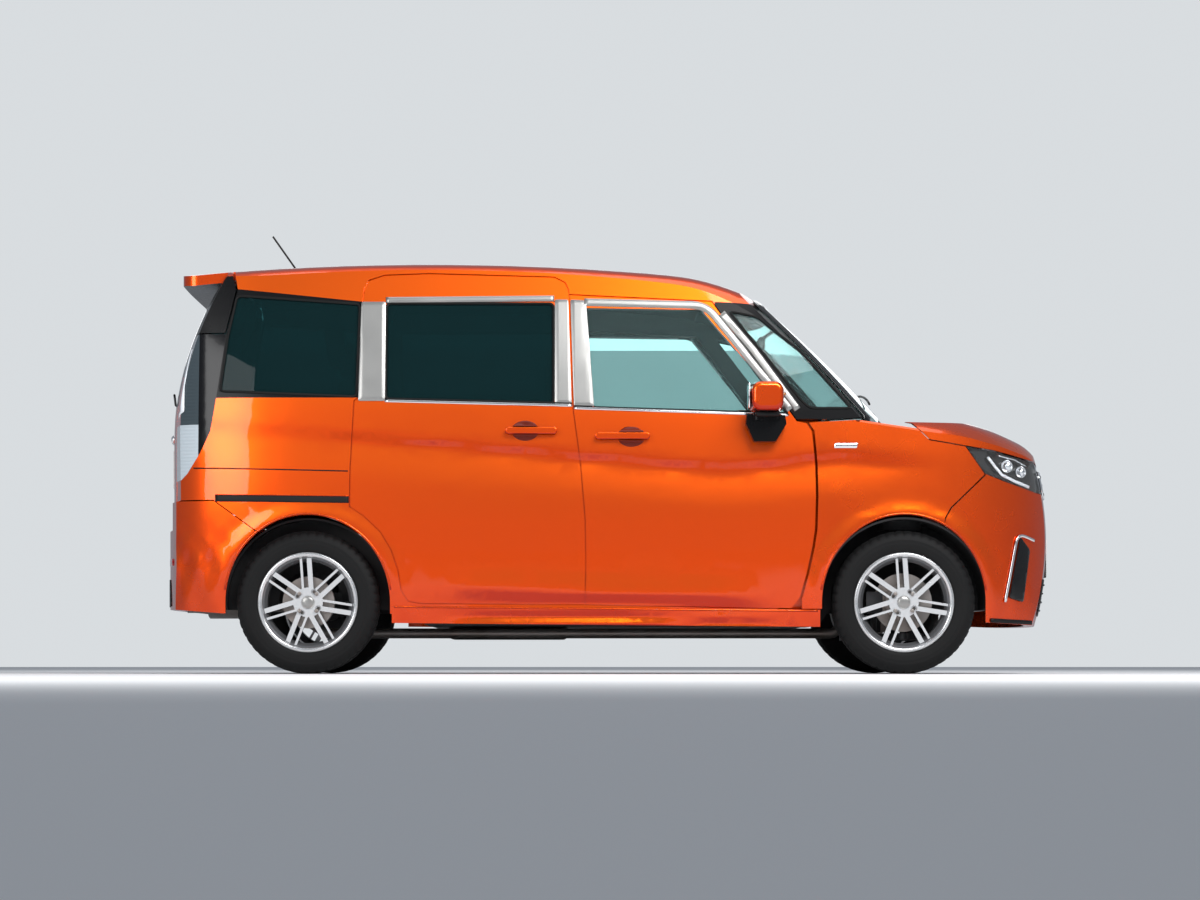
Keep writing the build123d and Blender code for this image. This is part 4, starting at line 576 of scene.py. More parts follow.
def alloy_shader(group):
    """Machined bright faces over dark painted pockets, told apart by the way a face looks."""
    shader = Shader("alloy_two_tone")
    grained(shader, group, 1200, 0.05, 0.26, 0.08)
    outward = shader.maths("ABSOLUTE", shader.normal_xyz()[1])
    face = shader.maths("GREATER_THAN", outward, 0.80)
    shader.set(Base_Color=shader.mix(face, (0.16, 0.163, 0.17, 1), (0.74, 0.745, 0.75, 1)), Metallic=0.55)
    return shader.material


def brushed_shader(group):
    """Bare cast and turned steel with thin rust in places."""
    shader = Shader("brake_steel")
    made = grained(shader, group, 500, 0.2, 0.42, 0.2)
    tone = shader.mix(made.outputs["Mottle"], (0.20, 0.15, 0.12, 1), (0.42, 0.41, 0.40, 1))
    shader.set(Base_Color=tone, Metallic=0.8)
    return shader.material


def cloth_shader(name, colour, scale):
    """Woven seat cloth: crossed threads under a soft sheen."""
    shader = Shader(name)
    threads = []
    for direction in ("X", "Z"):
        wave = shader.textured("Wave", scale, bands_direction=direction)
        wave.inputs["Distortion"].default_value = 0.6
        threads.append(wave.outputs["Fac"])
    weave = shader.maths("MULTIPLY", *threads)
    shader.bump(weave, 0.5, 0.0006)
    shader.set(Base_Color=shader.mix(weave, (*colour, 1), shade(colour, 1.9)), Roughness=0.9,
               Sheen_Weight=0.25, Sheen_Roughness=0.5)
    return shader.material


def tail_lens_shader():
    """Tail lamp: smoked on the side, ribbed at the rear with a red band, and clear below it, where a painted
    pale bluish grey stands in for the chrome behind the lens and its reflection.
    """
    shader = Shader("tail_lens")
    x, _, z = shader.xyz()
    band_low = BELT_Z - 0.07
    smoked = shader.maths("GREATER_THAN", x, -1.715)
    clear = shader.maths("LESS_THAN", z, band_low)
    rearward = shader.maths("LESS_THAN", shader.normal_xyz()[0], -0.8)
    band = sloped_band(shader, -2.0, -1.55, band_low, BELT_Z + 0.14, 0)
    red = shader.maths("MULTIPLY", band, rearward)
    # Painted reflection: the clear foot is painted a pale bluish grey for the chrome seen through the lens
    # and what it reflects.
    tone = shader.mix(clear, (0.045, 0.062, 0.072, 1), (0.50, 0.56, 0.60, 1))
    tone = shader.mix(red, tone, (0.42, 0.004, 0.008, 1))
    tone = shader.mix(smoked, tone, (0.003, 0.003, 0.004, 1))
    ribs = shader.textured("Wave", 22, bands_direction="Z").outputs["Fac"]
    shader.bump(ribs, shader.maths("MULTIPLY_ADD", smoked, -0.35, 0.35), 0.002)
    shader.set(Base_Color=tone, Coat_Weight=shader.maths("MULTIPLY_ADD", smoked, -0.5, 0.6), Roughness=0.12,
               Coat_Roughness=0.02, Specular_IOR_Level=0.25)
    return shader.material


MATERIALS = {}


def make_materials():
    """All finishes, by name."""
    grain = grain_group()
    made = {
        "paint": paint_shader("paint_orange", grain),
        "paint_frame": paint_shader("paint_frame", grain, True, pillar_mask),
        "paint_gate": paint_shader("paint_gate", grain, False, gate_mask),
        "paint_mirror": paint_shader("paint_mirror", grain, False, mirror_mask),
        "paint_spoiler": paint_shader("paint_spoiler", grain, False, spoiler_mask),
        "paint_door": paint_shader("paint_door", grain, lined=True),
        "black": plain("trim_black", grain, (0.006, 0.006, 0.0065), 0.5, Specular_IOR_Level=0.25),
        "gloss_black": plain("trim_gloss_black", grain, (0.004, 0.004, 0.0045), 0.14, depth=0.02,
                             Specular_IOR_Level=0.3, Coat_Weight=0.3, Coat_Roughness=0.03),
        "rubber": plain("seal_rubber", grain, (0.005, 0.005, 0.005), 0.7, depth=0.3,
                        Specular_IOR_Level=0.25),
        "chrome": plain("chrome", grain, (0.80, 0.81, 0.82), 0.06, depth=0.01, metallic=1.0, tint=0.97),
        "silver": plain("satin_silver", grain, tuple(settings().silver), 0.36, depth=0.05, metallic=0.9,
                        tint=0.85),
        "underbody": plain("underbody_sealer", grain, (0.010, 0.010, 0.011), 0.75, 250, 0.6, 0.15),
        "cabin": plain("cabin_plastic", grain, (0.022, 0.022, 0.024), 0.6, 900, 0.5, 0.1),
        "headliner": plain("headliner_felt", grain, (0.030, 0.030, 0.032), 0.95, 1500, 0.6, 0.1),
        "iron": plain("chassis_iron", grain, (0.030, 0.030, 0.032), 0.6, 300, 0.5, 0.2, metallic=0.3),
        "aluminium": plain("cast_aluminium", grain, (0.36, 0.36, 0.37), 0.5, 350, 0.5, 0.2, metallic=0.9),
        "steel": brushed_shader(grain),
        "rubber_tyre": tyre_shader(grain),
        # Painted shade for the hollows of the door-handle cups, laid on thin flat crescents.
        "cup_painted_shade": plain("handle_painted_shade", grain, (0.16, 0.010, 0.001), 0.4, depth=0.02,
                        Specular_IOR_Level=0.3),
        "alloy": alloy_shader(grain),
        "bright_alloy": plain("bright_alloy", grain, (0.74, 0.745, 0.75), 0.24, depth=0.04, metallic=0.9,
                              tint=0.92),
        "clear_glass": glass_shader("clear_glass", (*settings().glass, 1), weight=0.96),
        "privacy": glass_shader("privacy_glass", (0.012, 0.055, 0.060, 1), weight=0.75),
        "lens": glass_shader("lamp_lens", (0.96, 0.98, 1.0, 1), weight=0.97),
        "lamp_chrome": plain("lamp_reflector", grain, (0.75, 0.77, 0.80), 0.10, depth=0.02, metallic=1.0,
                             tint=0.9),
        "lamp_white": plain("light_guide", grain, (0.85, 0.88, 0.92), 0.25, depth=0.05, tint=0.95),
        "amber": plain("turn_amber", grain, (0.75, 0.22, 0.02), 0.15, depth=0.05),
        "red": plain("lamp_red", grain, (0.40, 0.005, 0.008), 0.12, depth=0.05, Coat_Weight=1.0),
        "tail_lens": tail_lens_shader(),
        "cloth": cloth_shader("seat_cloth", (0.020, 0.020, 0.024), 420),
        "cloth_bolster": cloth_shader("seat_cloth_bolster", (0.012, 0.012, 0.013), 520),
        "plate": plain("blank_plate", grain, (0.75, 0.75, 0.73), 0.4, depth=0.1, tint=0.96),
        "mirror": plain("mirror_glass", grain, (0.85, 0.86, 0.87), 0.03, depth=0.0, metallic=1.0, tint=0.99),
    }
    MATERIALS.update(made)


NODE_FINISHES = {
    "paint": ("sill_skirts", "roof_panel", "front_fenders", "bonnet", "front_bumper", "rear_bumper"),
    "paint_gate": ("tailgate",),
    "paint_spoiler": ("roof_spoiler",),
    "paint_mirror": ("door_mirror_right", "door_mirror_left"),
    "paint_frame": ("side_frames",),
    "paint_door": ("front_door_right", "front_door_left", "sliding_doors"),
    "clear_glass": ("windscreen", "front_quarter_glass", "front_door_glass_right", "front_door_glass_left"),
    "privacy": ("privacy_glass", "tailgate_glass"),
    "gloss_black": ("headlamps",),
    "tail_lens": ("tail_lamps",),
    "black": ("grille", "cowl", "antenna", "fuel_tank"),
    "underbody": ("underbody",),
    "cabin": ("dashboard", "steering_wheel"),
    "cloth": ("front_seats", "rear_seats"),
    "aluminium": ("engine_block",),
    "iron": ("front_subframe", "rear_axle", "knuckle_right", "knuckle_left", "drive_shafts"),
    "steel": ("front_disc_right", "front_disc_left", "rear_drum_right", "rear_drum_left", "exhaust"),
    "alloy": tuple(f"rim_{end}_{side}" for end, side, _ in CORNERS),
    "rubber_tyre": tuple(f"tyre_{end}_{side}" for end, side, _ in CORNERS),
}


def finish_nodes():
    """Gives every CAD node its material."""
    for finish, nodes in NODE_FINISHES.items():
        for node in nodes:
            obj = NODES[node]
            obj.data.materials.clear()
            obj.data.materials.append(MATERIALS[finish])


# ---------------------------------------------------------------- stage
FLOOR_REACH = 30
ROOM_GLOW = (0.50, 0.54, 0.60, 1)
BACKDROP_GLOW = (1.15, 1.20, 1.24, 1)
# Name, place, aim, size and power of each soft lamp.
STUDIO_LAMPS = (
    ("key", (3.0, -6.0, 5.5), (0, 0, 0.9), (5, 3), 520),
    ("fill", (-5.0, -7.0, 3.0), (0, 0, 0.8), (4, 3), 200),
    ("top", (0, 0, 6.5), (0, 0, 0), (6, 3), 110),
    ("back", (0, 7.0, 3.0), (0, 0, 1), (6, 2), 60),
)
CAMERA_PLACE = (-0.181, -15.9, 0.043)
CAMERA_LENS = {"lens": 109.0, "sensor_width": 36.0, "shift_x": 0.0283, "shift_y": 0.178, "clip_end": 200}


def to_scene(obj):
    """Puts an object in the scene."""
    bpy.context.scene.collection.objects.link(obj)
    return obj


def make_world():
    """Even room light, with a paler backdrop where the camera sees it."""
    world = bpy.data.worlds.new("studio")
    world.use_nodes = True
    bpy.context.scene.world = world
    tree = world.node_tree
    path = tree.nodes.new("ShaderNodeLightPath")
    seen = tree.nodes.new("ShaderNodeMath")
    seen.operation = "MAXIMUM"
    tree.links.new(path.outputs["Is Camera Ray"], seen.inputs[0])
    tree.links.new(path.outputs["Is Transmission Ray"], seen.inputs[1])
    mixer = tree.nodes.new("ShaderNodeMix")
    mixer.data_type = "RGBA"
    mixer.inputs[6].default_value = ROOM_GLOW
    mixer.inputs[7].default_value = BACKDROP_GLOW
    background = tree.nodes["Background"]
    background.inputs["Strength"].default_value = 0.6
    tree.links.new(seen.outputs[0], mixer.inputs["Factor"])
    tree.links.new(mixer.outputs[2], background.inputs["Color"])


def make_stage():
    """Pale floor, soft lamps and a low camera square to the right-hand side."""
    shader = Shader("studio_pale")
    shader.set(Base_Color=(0.78, 0.79, 0.80, 1), Roughness=0.9)
    bm = bmesh.new()
    bmesh.ops.create_grid(bm, x_segments=8, y_segments=8, size=FLOOR_REACH)
    floor = new_object("floor", bm, shader.material, smooth=False)
    make_world()
    for name, place, aim, size, power in STUDIO_LAMPS:
        data = bpy.data.lights.new(name, "AREA")
        data.shape = "RECTANGLE"
        data.size, data.size_y = size
        data.energy = power
        lamp = to_scene(bpy.data.objects.new(name, data))
        lamp.location = place
        lamp.rotation_euler = (Vector(aim) - Vector(place)).to_track_quat("-Z", "Y").to_euler()
    camera = to_scene(bpy.data.objects.new("camera", bpy.data.cameras.new("camera")))
    for key, value in CAMERA_LENS.items():
        setattr(camera.data, key, value)
    camera.location = CAMERA_PLACE
    camera.rotation_euler = (radians(90), 0, 0)
    bpy.context.scene.camera = camera
    bpy.context.scene.view_settings.view_transform = "Standard"


# ---------------------------------------------------------------- wheels
BEAD_RADIUS = 0.2075
# Sidewall from the bead outwards: radius past the bead, and how far in from the tyre's side.
SIDEWALL = ((-0.002, 0.022), (0, 0.013), (0.004, 0.0075), (0.008, 0.0062), (0.014, 0.0035), (0.018, 0.0042),
            (0.034, 0.0012), (0.036, 0.0022), (0.050, 0.0025), (0.052, 0.0012), (0.066, 0.006))
# Shoulder: radius short of the tread, and how far in from the tyre's side.
SHOULDER = ((0.014, 0.0125), (0.0075, 0.019), (0.0035, 0.028), (0.0015, 0.042))
GROOVE_PLACES = (0.045, 0.022)
TREAD_STEPS = 240
BLOCK_STEPS = 5
# The shoulder's blocks start this far in from the tyre's side and reach this far below the tread.
SHOULDER_WIDTH = 0.045
SHOULDER_HEIGHT = 0.0155
SHOULDER_NOTCH = 0.0055
BLOCK_HEIGHT = 0.004
BLOCK_NOTCH = 0.003
# Outer ring of the rim and the hub cap: radius, and how far out of the wheel's face.
RIM_RING = ((0.1860, -0.016), (0.1900, -0.004), (0.1965, 0.0012), (0.2035, 0.0018), (0.2066, -0.001),
            (0.2068, -0.008))
HUB_CAP = ((0.0, 0.009), (0.012, 0.0086), (0.022, 0.0065), (0.0255, 0.004), (0.0262, 0.0052),
           (0.0275, 0.0046), (0.0278, -0.012))
HUB_SET_BACK = 0.014
NUT_RADIUS = 0.0098
NUT_LENGTH = 0.024
NUT_CIRCLE = 0.05
VALVE_RADIUS = 0.0038


def make_tyre(end, side):
    """Treaded tyre: grooves round it, notched shoulders and blocks, rim-guard rings on the wall."""
    centre = WHEEL_CENTRES[end, side]
    low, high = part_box(f"tyre_{end}_{side}")
    half = (high[1] - low[1]) / 2
    radius = TYRE_RADIUS
    wall = [(BEAD_RADIUS + out, -half + inward) for out, inward in SIDEWALL]
    shoulder = [(radius - short, -half + inward) for short, inward in SHOULDER]
    tread = []
    for place in GROOVE_PLACES:
        floor = radius - settings().groove
        tread += [(radius - 0.0008, -place - 0.006), (floor, -place - 0.0042),
                  (floor, -place + 0.0042), (radius - 0.0002, -place + 0.006)]
    half_profile = wall + shoulder + tread
    profile = half_profile + [(out, -y) for out, y in reversed(half_profile)]
    profile += [(BEAD_RADIUS, half - 0.03), (BEAD_RADIUS, -half + 0.03), profile[0]]
    bm = bmesh.new()
    spun(bm, profile, centre, TREAD_STEPS)
    shoulder_y = half - SHOULDER_WIDTH
    for vertex in bm.verts:
        out = Vector((vertex.co.x - centre.x, 0, vertex.co.z - centre.z))
        step = round(atan2(out.z, out.x) / (2 * pi) * TREAD_STEPS) % BLOCK_STEPS
        across = abs(vertex.co.y - centre.y)
        if out.length > radius - SHOULDER_HEIGHT and across > shoulder_y and step == 0:
            vertex.co -= out.normalized() * SHOULDER_NOTCH
        elif out.length > radius - BLOCK_HEIGHT and across < shoulder_y and step == 2:
            vertex.co -= out.normalized() * BLOCK_NOTCH
    obj = new_object(f"tyre_tread_{end}_{side}", bm, MATERIALS["rubber_tyre"])
    modifier = obj.modifiers.new("Normals", "WEIGHTED_NORMAL")
    modifier.keep_sharp = True
    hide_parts(f"tyre_{end}_{side}")
    put(obj, f"wheel_{end}_{side}")


def make_nuts(end, side, sign, hub):
    """Four wheel nuts round a hub."""
    nuts = []
    for index in range(4):
        angle = pi / 4 + index * pi / 2
        spot = hub + Vector((NUT_CIRCLE * cos(angle), 0, NUT_CIRCLE * sin(angle)))
        bm = bmesh.new()
        bmesh.ops.create_cone(bm, cap_ends=True, segments=6, radius1=NUT_RADIUS, radius2=NUT_RADIUS * 0.92,
                              depth=NUT_LENGTH)
        rims = [edge for edge in bm.edges if edge.verts[0].co.z > 0 and edge.verts[1].co.z > 0]
        bmesh.ops.bevel(bm, geom=rims, offset=0.003, segments=2, affect="EDGES", profile=0.5, material=-1)
        turn = Matrix.Rotation(-sign * pi / 2, 4, "X")
        bmesh.ops.transform(bm, matrix=Matrix.Translation(spot) @ turn, verts=bm.verts[:])
        nuts.append(new_object("nut", bm, MATERIALS["steel"], smooth=False))
    put(join(f"lug_nuts_{end}_{side}", nuts), f"wheel_{end}_{side}")


def make_wheel_trim(end, side, sign):
    """Wheel nuts, hub cap, rim ring and valve of one wheel."""
    centre = WHEEL_CENTRES[end, side]
    wheel = f"wheel_{end}_{side}"
    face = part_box(f"rim_{end}_{side}")[0 if sign < 0 else 1][1]
    hub = Vector((centre.x, face - sign * HUB_SET_BACK, centre.z))
    make_nuts(end, side, sign, hub)
    cap = lathe(f"hub_cap_{end}_{side}", HUB_CAP, MATERIALS["silver"], hub, 48, sign)
    put(cap, wheel)
    ring = lathe(f"rim_ring_{end}_{side}", RIM_RING, MATERIALS["bright_alloy"],
                 Vector((centre.x, face, centre.z)), 96, sign)
    put(ring, wheel)
    valve = tube(f"valve_{end}_{side}", [(centre.x + 0.172, face - sign * 0.030, centre.z),
                                         (centre.x + 0.160, face - sign * 0.010, centre.z)],
                 VALVE_RADIUS, MATERIALS["rubber"], 10, 0.005)
    put(valve, wheel)


def make_wheels():
    """All four tyres with their trim."""
    for end, side, sign in CORNERS:
        make_tyre(end, side)
        make_wheel_trim(end, side, sign)


# ---------------------------------------------------------------- side trim
SIDE_NODES = ["side_frames", "sliding_doors", "front_door_right", "front_door_left", "front_fenders",
              "tail_lamps", "rear_bumper", "front_bumper", "headlamps", "sill_skirts"]
GLASS_NODES = SIDE_NODES + ["privacy_glass", "front_quarter_glass", "front_door_glass_right",
                            "front_door_glass_left", "windscreen"]

# Outlines on the body side are (x, z) corners. The word after a name says what carries the piece.
SILVER_PANELS = (
    ("pillar_c", "body", [(-1.036, 1.556), (-0.934, 1.556), (-0.934, 1.136), (-1.046, 1.136)]),
    ("pillar_b_rear", "body", [(-0.228, 1.566), (-0.172, 1.566), (-0.157, 1.122), (-0.228, 1.122)]),
    ("pillar_b_front", "door", [(-0.163, 1.566), (-0.097, 1.562), (-0.064, 1.112), (-0.148, 1.112)]),
)
# Silver strips: name, carrier, path, width and crown.
SILVER_STRIPS = (
    ("frame_strip_slide", "body", [(-0.934, 1.563), (-0.230, 1.570)], 0.026, 0.002),
    ("frame_strip_front", "door", rounded([(-0.105, 1.554), (0.405, 1.541), (0.751, 1.098)], 0.06, 6, False),
     0.034, 0.002),
    ("frame_slope", "door", [(0.470, 1.508), (0.600, 1.352), (0.782, 1.100)], 0.030, 0.001),
)
BELT_PATHS = (
    ("slide", "body", [(-0.935, 1.136), (-0.156, 1.1165)]),
    ("front", "door", [(-0.148, 1.106), (0.60, 1.0815), (0.742, 1.0765)]),
)
WINDOW_OUTLINES = (
    ("slide", [(-0.931, 1.549), (-0.233, 1.549), (-0.233, 1.124), (-0.931, 1.144)]),
    ("quarter", [(-1.558, 1.583), (-1.042, 1.546), (-1.053, 1.154), (-1.624, 1.178), (-1.594, 1.41)]),
    ("vent", [(0.500, 1.515), (0.617, 1.492), (0.797, 1.347), (1.008, 1.106), (0.834, 1.106),
              (0.801, 1.134)]),
)
WINDOW_CORNER = 0.02
SLIDE_RAIL = ((-1.641, 0.731), (-1.083, 0.724))
QUARTER_SEAM = ((-1.735, 0.858), (-1.087, 0.843))
FENDER_STRIP = ((0.932, 0.9385), (1.028, 0.9385), (1.032, 0.9605), (0.936, 0.9605))
SILL_LEDGE = ((-0.895, 0.279), (0.865, 0.262))
ARCH_RADIUS = 0.349
ARCH_STRETCH = 1.055
HANDLES = (("front", "door", 0.090, 0.986), ("slide", "body", -0.351, 1.011))
CUP_LENGTH = 0.058
CUP_HEIGHT = 0.042


def side_place(skin, sign):
    """Places a (x, z, out) point on one side of the body."""
    return lambda x, z, out: Vector((x, skin.side(x, z, sign) + sign * out, z))


def carrier(body, side):
    """Name of the body that carries a side piece."""
    return "door_" + side if body == "door" else body


def make_silver_frames():
    """Satin-silver door frames: upright panels between the windows and thin strips over them."""
    skin = Skin(SIDE_NODES)
    silver = MATERIALS["silver"]
    for side, sign in SIDES:
        place = side_place(skin, sign)
        for name, body, outline in SILVER_PANELS:
            panel = patch(f"{name}_{side}", rounded(outline, 0.008), 0.0016, silver, place)
            put(panel, carrier(body, side))
        for name, body, path, width, crown in SILVER_STRIPS:
            strip = ribbon(f"{name}_{side}", path, width, crown, silver, place)
            put(strip, carrier(body, side))


def make_belt_mouldings():
    """Bright mouldings under the side windows, on black wiper seals."""
    skin = Skin(SIDE_NODES)
    for side, sign in SIDES:
        place = side_place(skin, sign)
        for name, body, path in BELT_PATHS:
            bright = ribbon(f"belt_{name}_{side}", path, settings().moulding, 0.004, MATERIALS["chrome"],
                            place)
            put(bright, carrier(body, side))
            above = [(x, z + 0.0095) for x, z in path]
            seal = ribbon(f"belt_seal_{name}_{side}", above, 0.009, 0.0025, MATERIALS["rubber"], place)
            put(seal, carrier(body, side))


def make_window_seals():
    """Black rubber round each side window that doesn't ride on a front door."""
    skin = Skin(GLASS_NODES)
    for side, sign in SIDES:
        place = side_place(skin, sign)
        for name, outline in WINDOW_OUTLINES:
            seal = ribbon(f"seal_{name}_{side}", rounded(outline, WINDOW_CORNER), settings().seal, 0.0022,
                          MATERIALS["rubber"], place, closed=True)
            put(seal, "body")


def make_body_trim():
    """Sliding-door rail, quarter seam, fender strip, sill ledge and arch edges."""
    skin = Skin(SIDE_NODES)
    paint = MATERIALS["paint"]
    for side, sign in SIDES:
        place = side_place(skin, sign)
        rail = ribbon(f"slide_rail_{side}", SLIDE_RAIL, 0.028, 0.0012, MATERIALS["black"], place, across=7)
        put(rail, "body")
        above = [(x, z + 0.015) for x, z in SLIDE_RAIL]
        put(ribbon(f"slide_rail_lip_{side}", above, 0.004, 0.0022, paint, place), "body")
        seam = ribbon(f"quarter_seam_{side}", QUARTER_SEAM, 0.005, 0.0004, MATERIALS["rubber"], place)
        put(seam, "body")
        strip = patch(f"fender_strip_{side}", rounded(FENDER_STRIP, 0.004), 0.0022, MATERIALS["chrome"],
                      place, 0.015, crown=0.001)
        put(strip, "body")
        put(ribbon(f"sill_ledge_{side}", SILL_LEDGE, 0.008, 0.003, paint, place), "body")
        for end, axle_x in (("rear", REAR_X), ("front", FRONT_X)):
            turns = [radians(turn) for turn in range(8, 173, 4)]
            arc = [(axle_x + ARCH_RADIUS * cos(turn), AXLE_Z + ARCH_RADIUS * ARCH_STRETCH * sin(turn))
                   for turn in turns]
            put(ribbon(f"arch_edge_{end}_{side}", arc, 0.007, 0.0018, paint, place), "body")


def make_handle_cup_shades():
    """Painted shade in the finger cups over and under each door handle: thin dark red crescents on the door
    skin, with no hollow under them.
    """
    skin = Skin(SIDE_NODES)
    for side, sign in SIDES:
        place = side_place(skin, sign)
        for name, body, x, z in HANDLES:
            for level, start in (("over", 0), ("under", pi)):
                turns = [start + radians(turn) for turn in range(24, 157, 12)]
                arc = [(x + CUP_LENGTH * cos(turn), z + CUP_HEIGHT * sin(turn)) for turn in turns]
                cup_shade = patch(f"handle_cup_{level}_{name}_{side}", arc, 0.0006, MATERIALS["cup_painted_shade"], place,
                            0.01)
                put(cup_shade, carrier(body, side))


MIRROR_BACK_X = 0.572


def side_box(sign, inner, outer, low, high):
    """Corners of a box between two distances from the middle; low and high are its (x, z) corners."""
    near, far = sorted((sign * inner, sign * outer))
    return (low[0], near, low[1]), (high[0], far, high[1])


def make_mirrors():
    """Door mirrors: glass, black foot and a turn repeater."""
    for side, sign in SIDES:
        low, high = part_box(f"door_mirror_{side}")
        body = "door_" + side
        inner, outer = sorted((abs(low[1]), abs(high[1])))
        glass_box = side_box(sign, outer - 0.145, outer - 0.02, (MIRROR_BACK_X - 0.003, 1.094),
                             (MIRROR_BACK_X + 0.002, 1.196))
        put(slab(f"mirror_glass_{side}", *glass_box, MATERIALS["mirror"], 0.0012, 1), body)
        shares = [step / 8 for step in range(9)]
        path = [(0.722 - 0.030 * share ** 2, sign * (outer - 0.125 + 0.118 * share), 1.158 - 0.012 * share)
                for share in shares]
        put(tube(f"turn_repeater_{side}", path, 0.007, MATERIALS["amber"], 10, 0.01), body)
        foot_box = side_box(sign, inner + 0.03, outer - 0.06, (0.600, 1.062), (0.700, 1.084))
        put(slab(f"mirror_foot_{side}", *foot_box, MATERIALS["black"]), body)


# ---------------------------------------------------------------- lamps, front and tail
NOSE_NODES = ["front_bumper", "grille", "bonnet"]


def copy_of(node, name, material, shift):
    """Merged copy of a CAD node's mesh moved by a shift, for the inside of a lamp."""
    bm = bmesh.new()
    bm.from_mesh(NODES[node].data)
    bmesh.ops.remove_doubles(bm, verts=bm.verts[:], dist=MERGE_DISTANCE)
    bmesh.ops.recalc_face_normals(bm, faces=bm.faces[:])
    for vertex in bm.verts:
        vertex.co += Vector((shift[0], shift[1] * (1 if vertex.co.y > 0 else -1), shift[2]))
    return new_object(name, bm, material)


LIGHT_GUIDE = [(1.578, 0.905), (1.612, 0.862), (1.640, 0.832), (1.70, 0.806), (1.765, 0.784)]
UPPER_GUIDE = [(1.62, 0.912), (1.70, 0.895), (1.76, 0.868)]
# Projectors: (x, z) of the middle, and radius.
PROJECTORS = ((1.662, 0.868, 0.026), (1.725, 0.846, 0.024))


def set_back(place, depth):
    """The same placing, moved inwards by a depth."""
    return lambda u, v, out: place(u, v, out - depth)


def make_headlamps():
    """Clear covers over a dark housing with two projectors, a bright light guide and a reflector."""
    cover = copy_of("headlamps", "headlamp_cover", MATERIALS["lens"], (0, 0, 0))
    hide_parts("headlamps")
    put(cover, "body")
    housing = copy_of("headlamps", "headlamp_housing", MATERIALS["gloss_black"], (-0.022, -0.022, 0))
    put(housing, "body")
    skin = Skin(["headlamps"])
    chrome = MATERIALS["lamp_chrome"]
    for side, sign in SIDES:
        place = side_place(skin, sign)
        guide = ribbon(f"light_guide_{side}", LIGHT_GUIDE, 0.012, 0.003, MATERIALS["lamp_white"],
                       set_back(place, 0.016))
        put(guide, "body")
        upper = ribbon(f"light_guide_upper_{side}", UPPER_GUIDE, 0.007, 0.003, chrome, set_back(place, 0.014))
        put(upper, "body")
        for index, (x, z, radius) in enumerate(PROJECTORS):
            bowl = [(0, 0.008), (radius * 0.6, 0.005), (radius * 0.78, 0.0), (radius * 0.84, 0.007),
                    (radius, 0.008), (radius, -0.02)]
            ring = lathe(f"projector_{index}_{side}", bowl, chrome, place(x, z, -0.020), 32, sign)
            put(ring, "body")


def end_place(skin, sign):
    """Places a (y, z, out) point on the nose or the tail."""
    return lambda y, z, out: Vector((skin.end(y, z, sign) + sign * out, y, z))


def mirrored(points):
    """Closed outline from the (y, z) points of its left half, foot first."""
    return [(-y, z) for y, z in points[:1]] + list(points) + [(-y, z) for y, z in reversed(points[1:])]


GRILLE_HALF = 0.462
GRILLE_SHARES = (0.18, 0.5, 0.82)
INTAKE_FOOT = 0.268
INTAKE_PITCH = 0.036
PLATE_HALF = 0.165
FRONT_PLATE_FOOT = 0.415
FRONT_PLATE_HEAD = 0.58
# Corners of the nose are (x, z) points on the side of the bumper.
FOG_GARNISH = [(1.672, 0.318), (1.738, 0.300), (1.768, 0.520), (1.722, 0.575)]
FOG_HAT = [(1.655, 0.300), (1.712, 0.588), (1.790, 0.560)]


def make_grille():
    """Grille bars inside a bright surround."""
    place = end_place(Skin(NOSE_NODES), 1)
    low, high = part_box("grille")
    for index, share in enumerate(GRILLE_SHARES):
        z = low[2] + share * (high[2] - low[2])
        bar = ribbon(f"grille_bar_{index}", [(-0.44, z), (0.44, z)], 0.016, 0.007,
                     MATERIALS["chrome" if index == 1 else "gloss_black"], place, spacing=0.03)
        put(bar, "body")
    frame = rounded(mirrored([(GRILLE_HALF, low[2] + 0.006), (GRILLE_HALF, high[2] - 0.006)]), 0.03)
    surround = ribbon("grille_surround", frame, 0.012, 0.005, MATERIALS["chrome"], place, closed=True,
                      spacing=0.03)
    put(surround, "body")


def make_front():
    """Grille, lower black intake with bars, blank plate, and corner garnishes and chin strips."""
    make_grille()
    skin = Skin(NOSE_NODES)
    place = end_place(skin, 1)
    intake = patch("lower_intake", rounded(mirrored([(0.50, 0.245), (0.56, 0.40)]), 0.03), 0.002,
                   MATERIALS["black"], place, 0.04)
    put(intake, "body")
    for index in range(4):
        z = INTAKE_FOOT + index * INTAKE_PITCH
        bar = ribbon(f"intake_bar_{index}", [(-0.49, z), (0.49, z)], 0.010, 0.006, MATERIALS["gloss_black"],
                     place, spacing=0.03, lift=0.002)
        put(bar, "body")
    front = max(skin.end(y, z, 1) for y in (-0.15, 0, 0.15) for z in (0.43, 0.50, 0.565))
    plate = slab("front_plate", (front + 0.002, -PLATE_HALF, FRONT_PLATE_FOOT),
                 (front + 0.006, PLATE_HALF, FRONT_PLATE_HEAD), MATERIALS["plate"], 0.0015, 1)
    put(plate, "body")
    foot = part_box("front_bumper")[0][2]
    chin_path = [(1.59, foot + 0.022), (1.70, foot + 0.017), (1.78, foot + 0.014)]
    side_skin = Skin(["front_bumper"])
    for side, sign in SIDES:
        on_side = side_place(side_skin, sign)
        fog = patch(f"fog_garnish_{side}", rounded(FOG_GARNISH, 0.012), 0.003, MATERIALS["gloss_black"],
                    on_side, 0.012)
        put(fog, "body")
        chin = ribbon(f"chin_{side}", chin_path, 0.018, 0.003, MATERIALS["black"], on_side)
        put(chin, "body")
        hat = ribbon(f"fog_hat_{side}", rounded(FOG_HAT, 0.04, 6, False), 0.013, 0.005, MATERIALS["chrome"],
                     on_side)
        put(hat, "body")


# Outlines on the tail are (y, z) points; reflectors and light guides are given for the left side.
REFLECTOR = [(0.46, 0.455), (0.60, 0.455), (0.60, 0.485), (0.46, 0.485)]
TAIL_GUIDE = [(0.655, 1.36), (0.690, 1.22), (0.705, 1.10), (0.66, 1.075)]


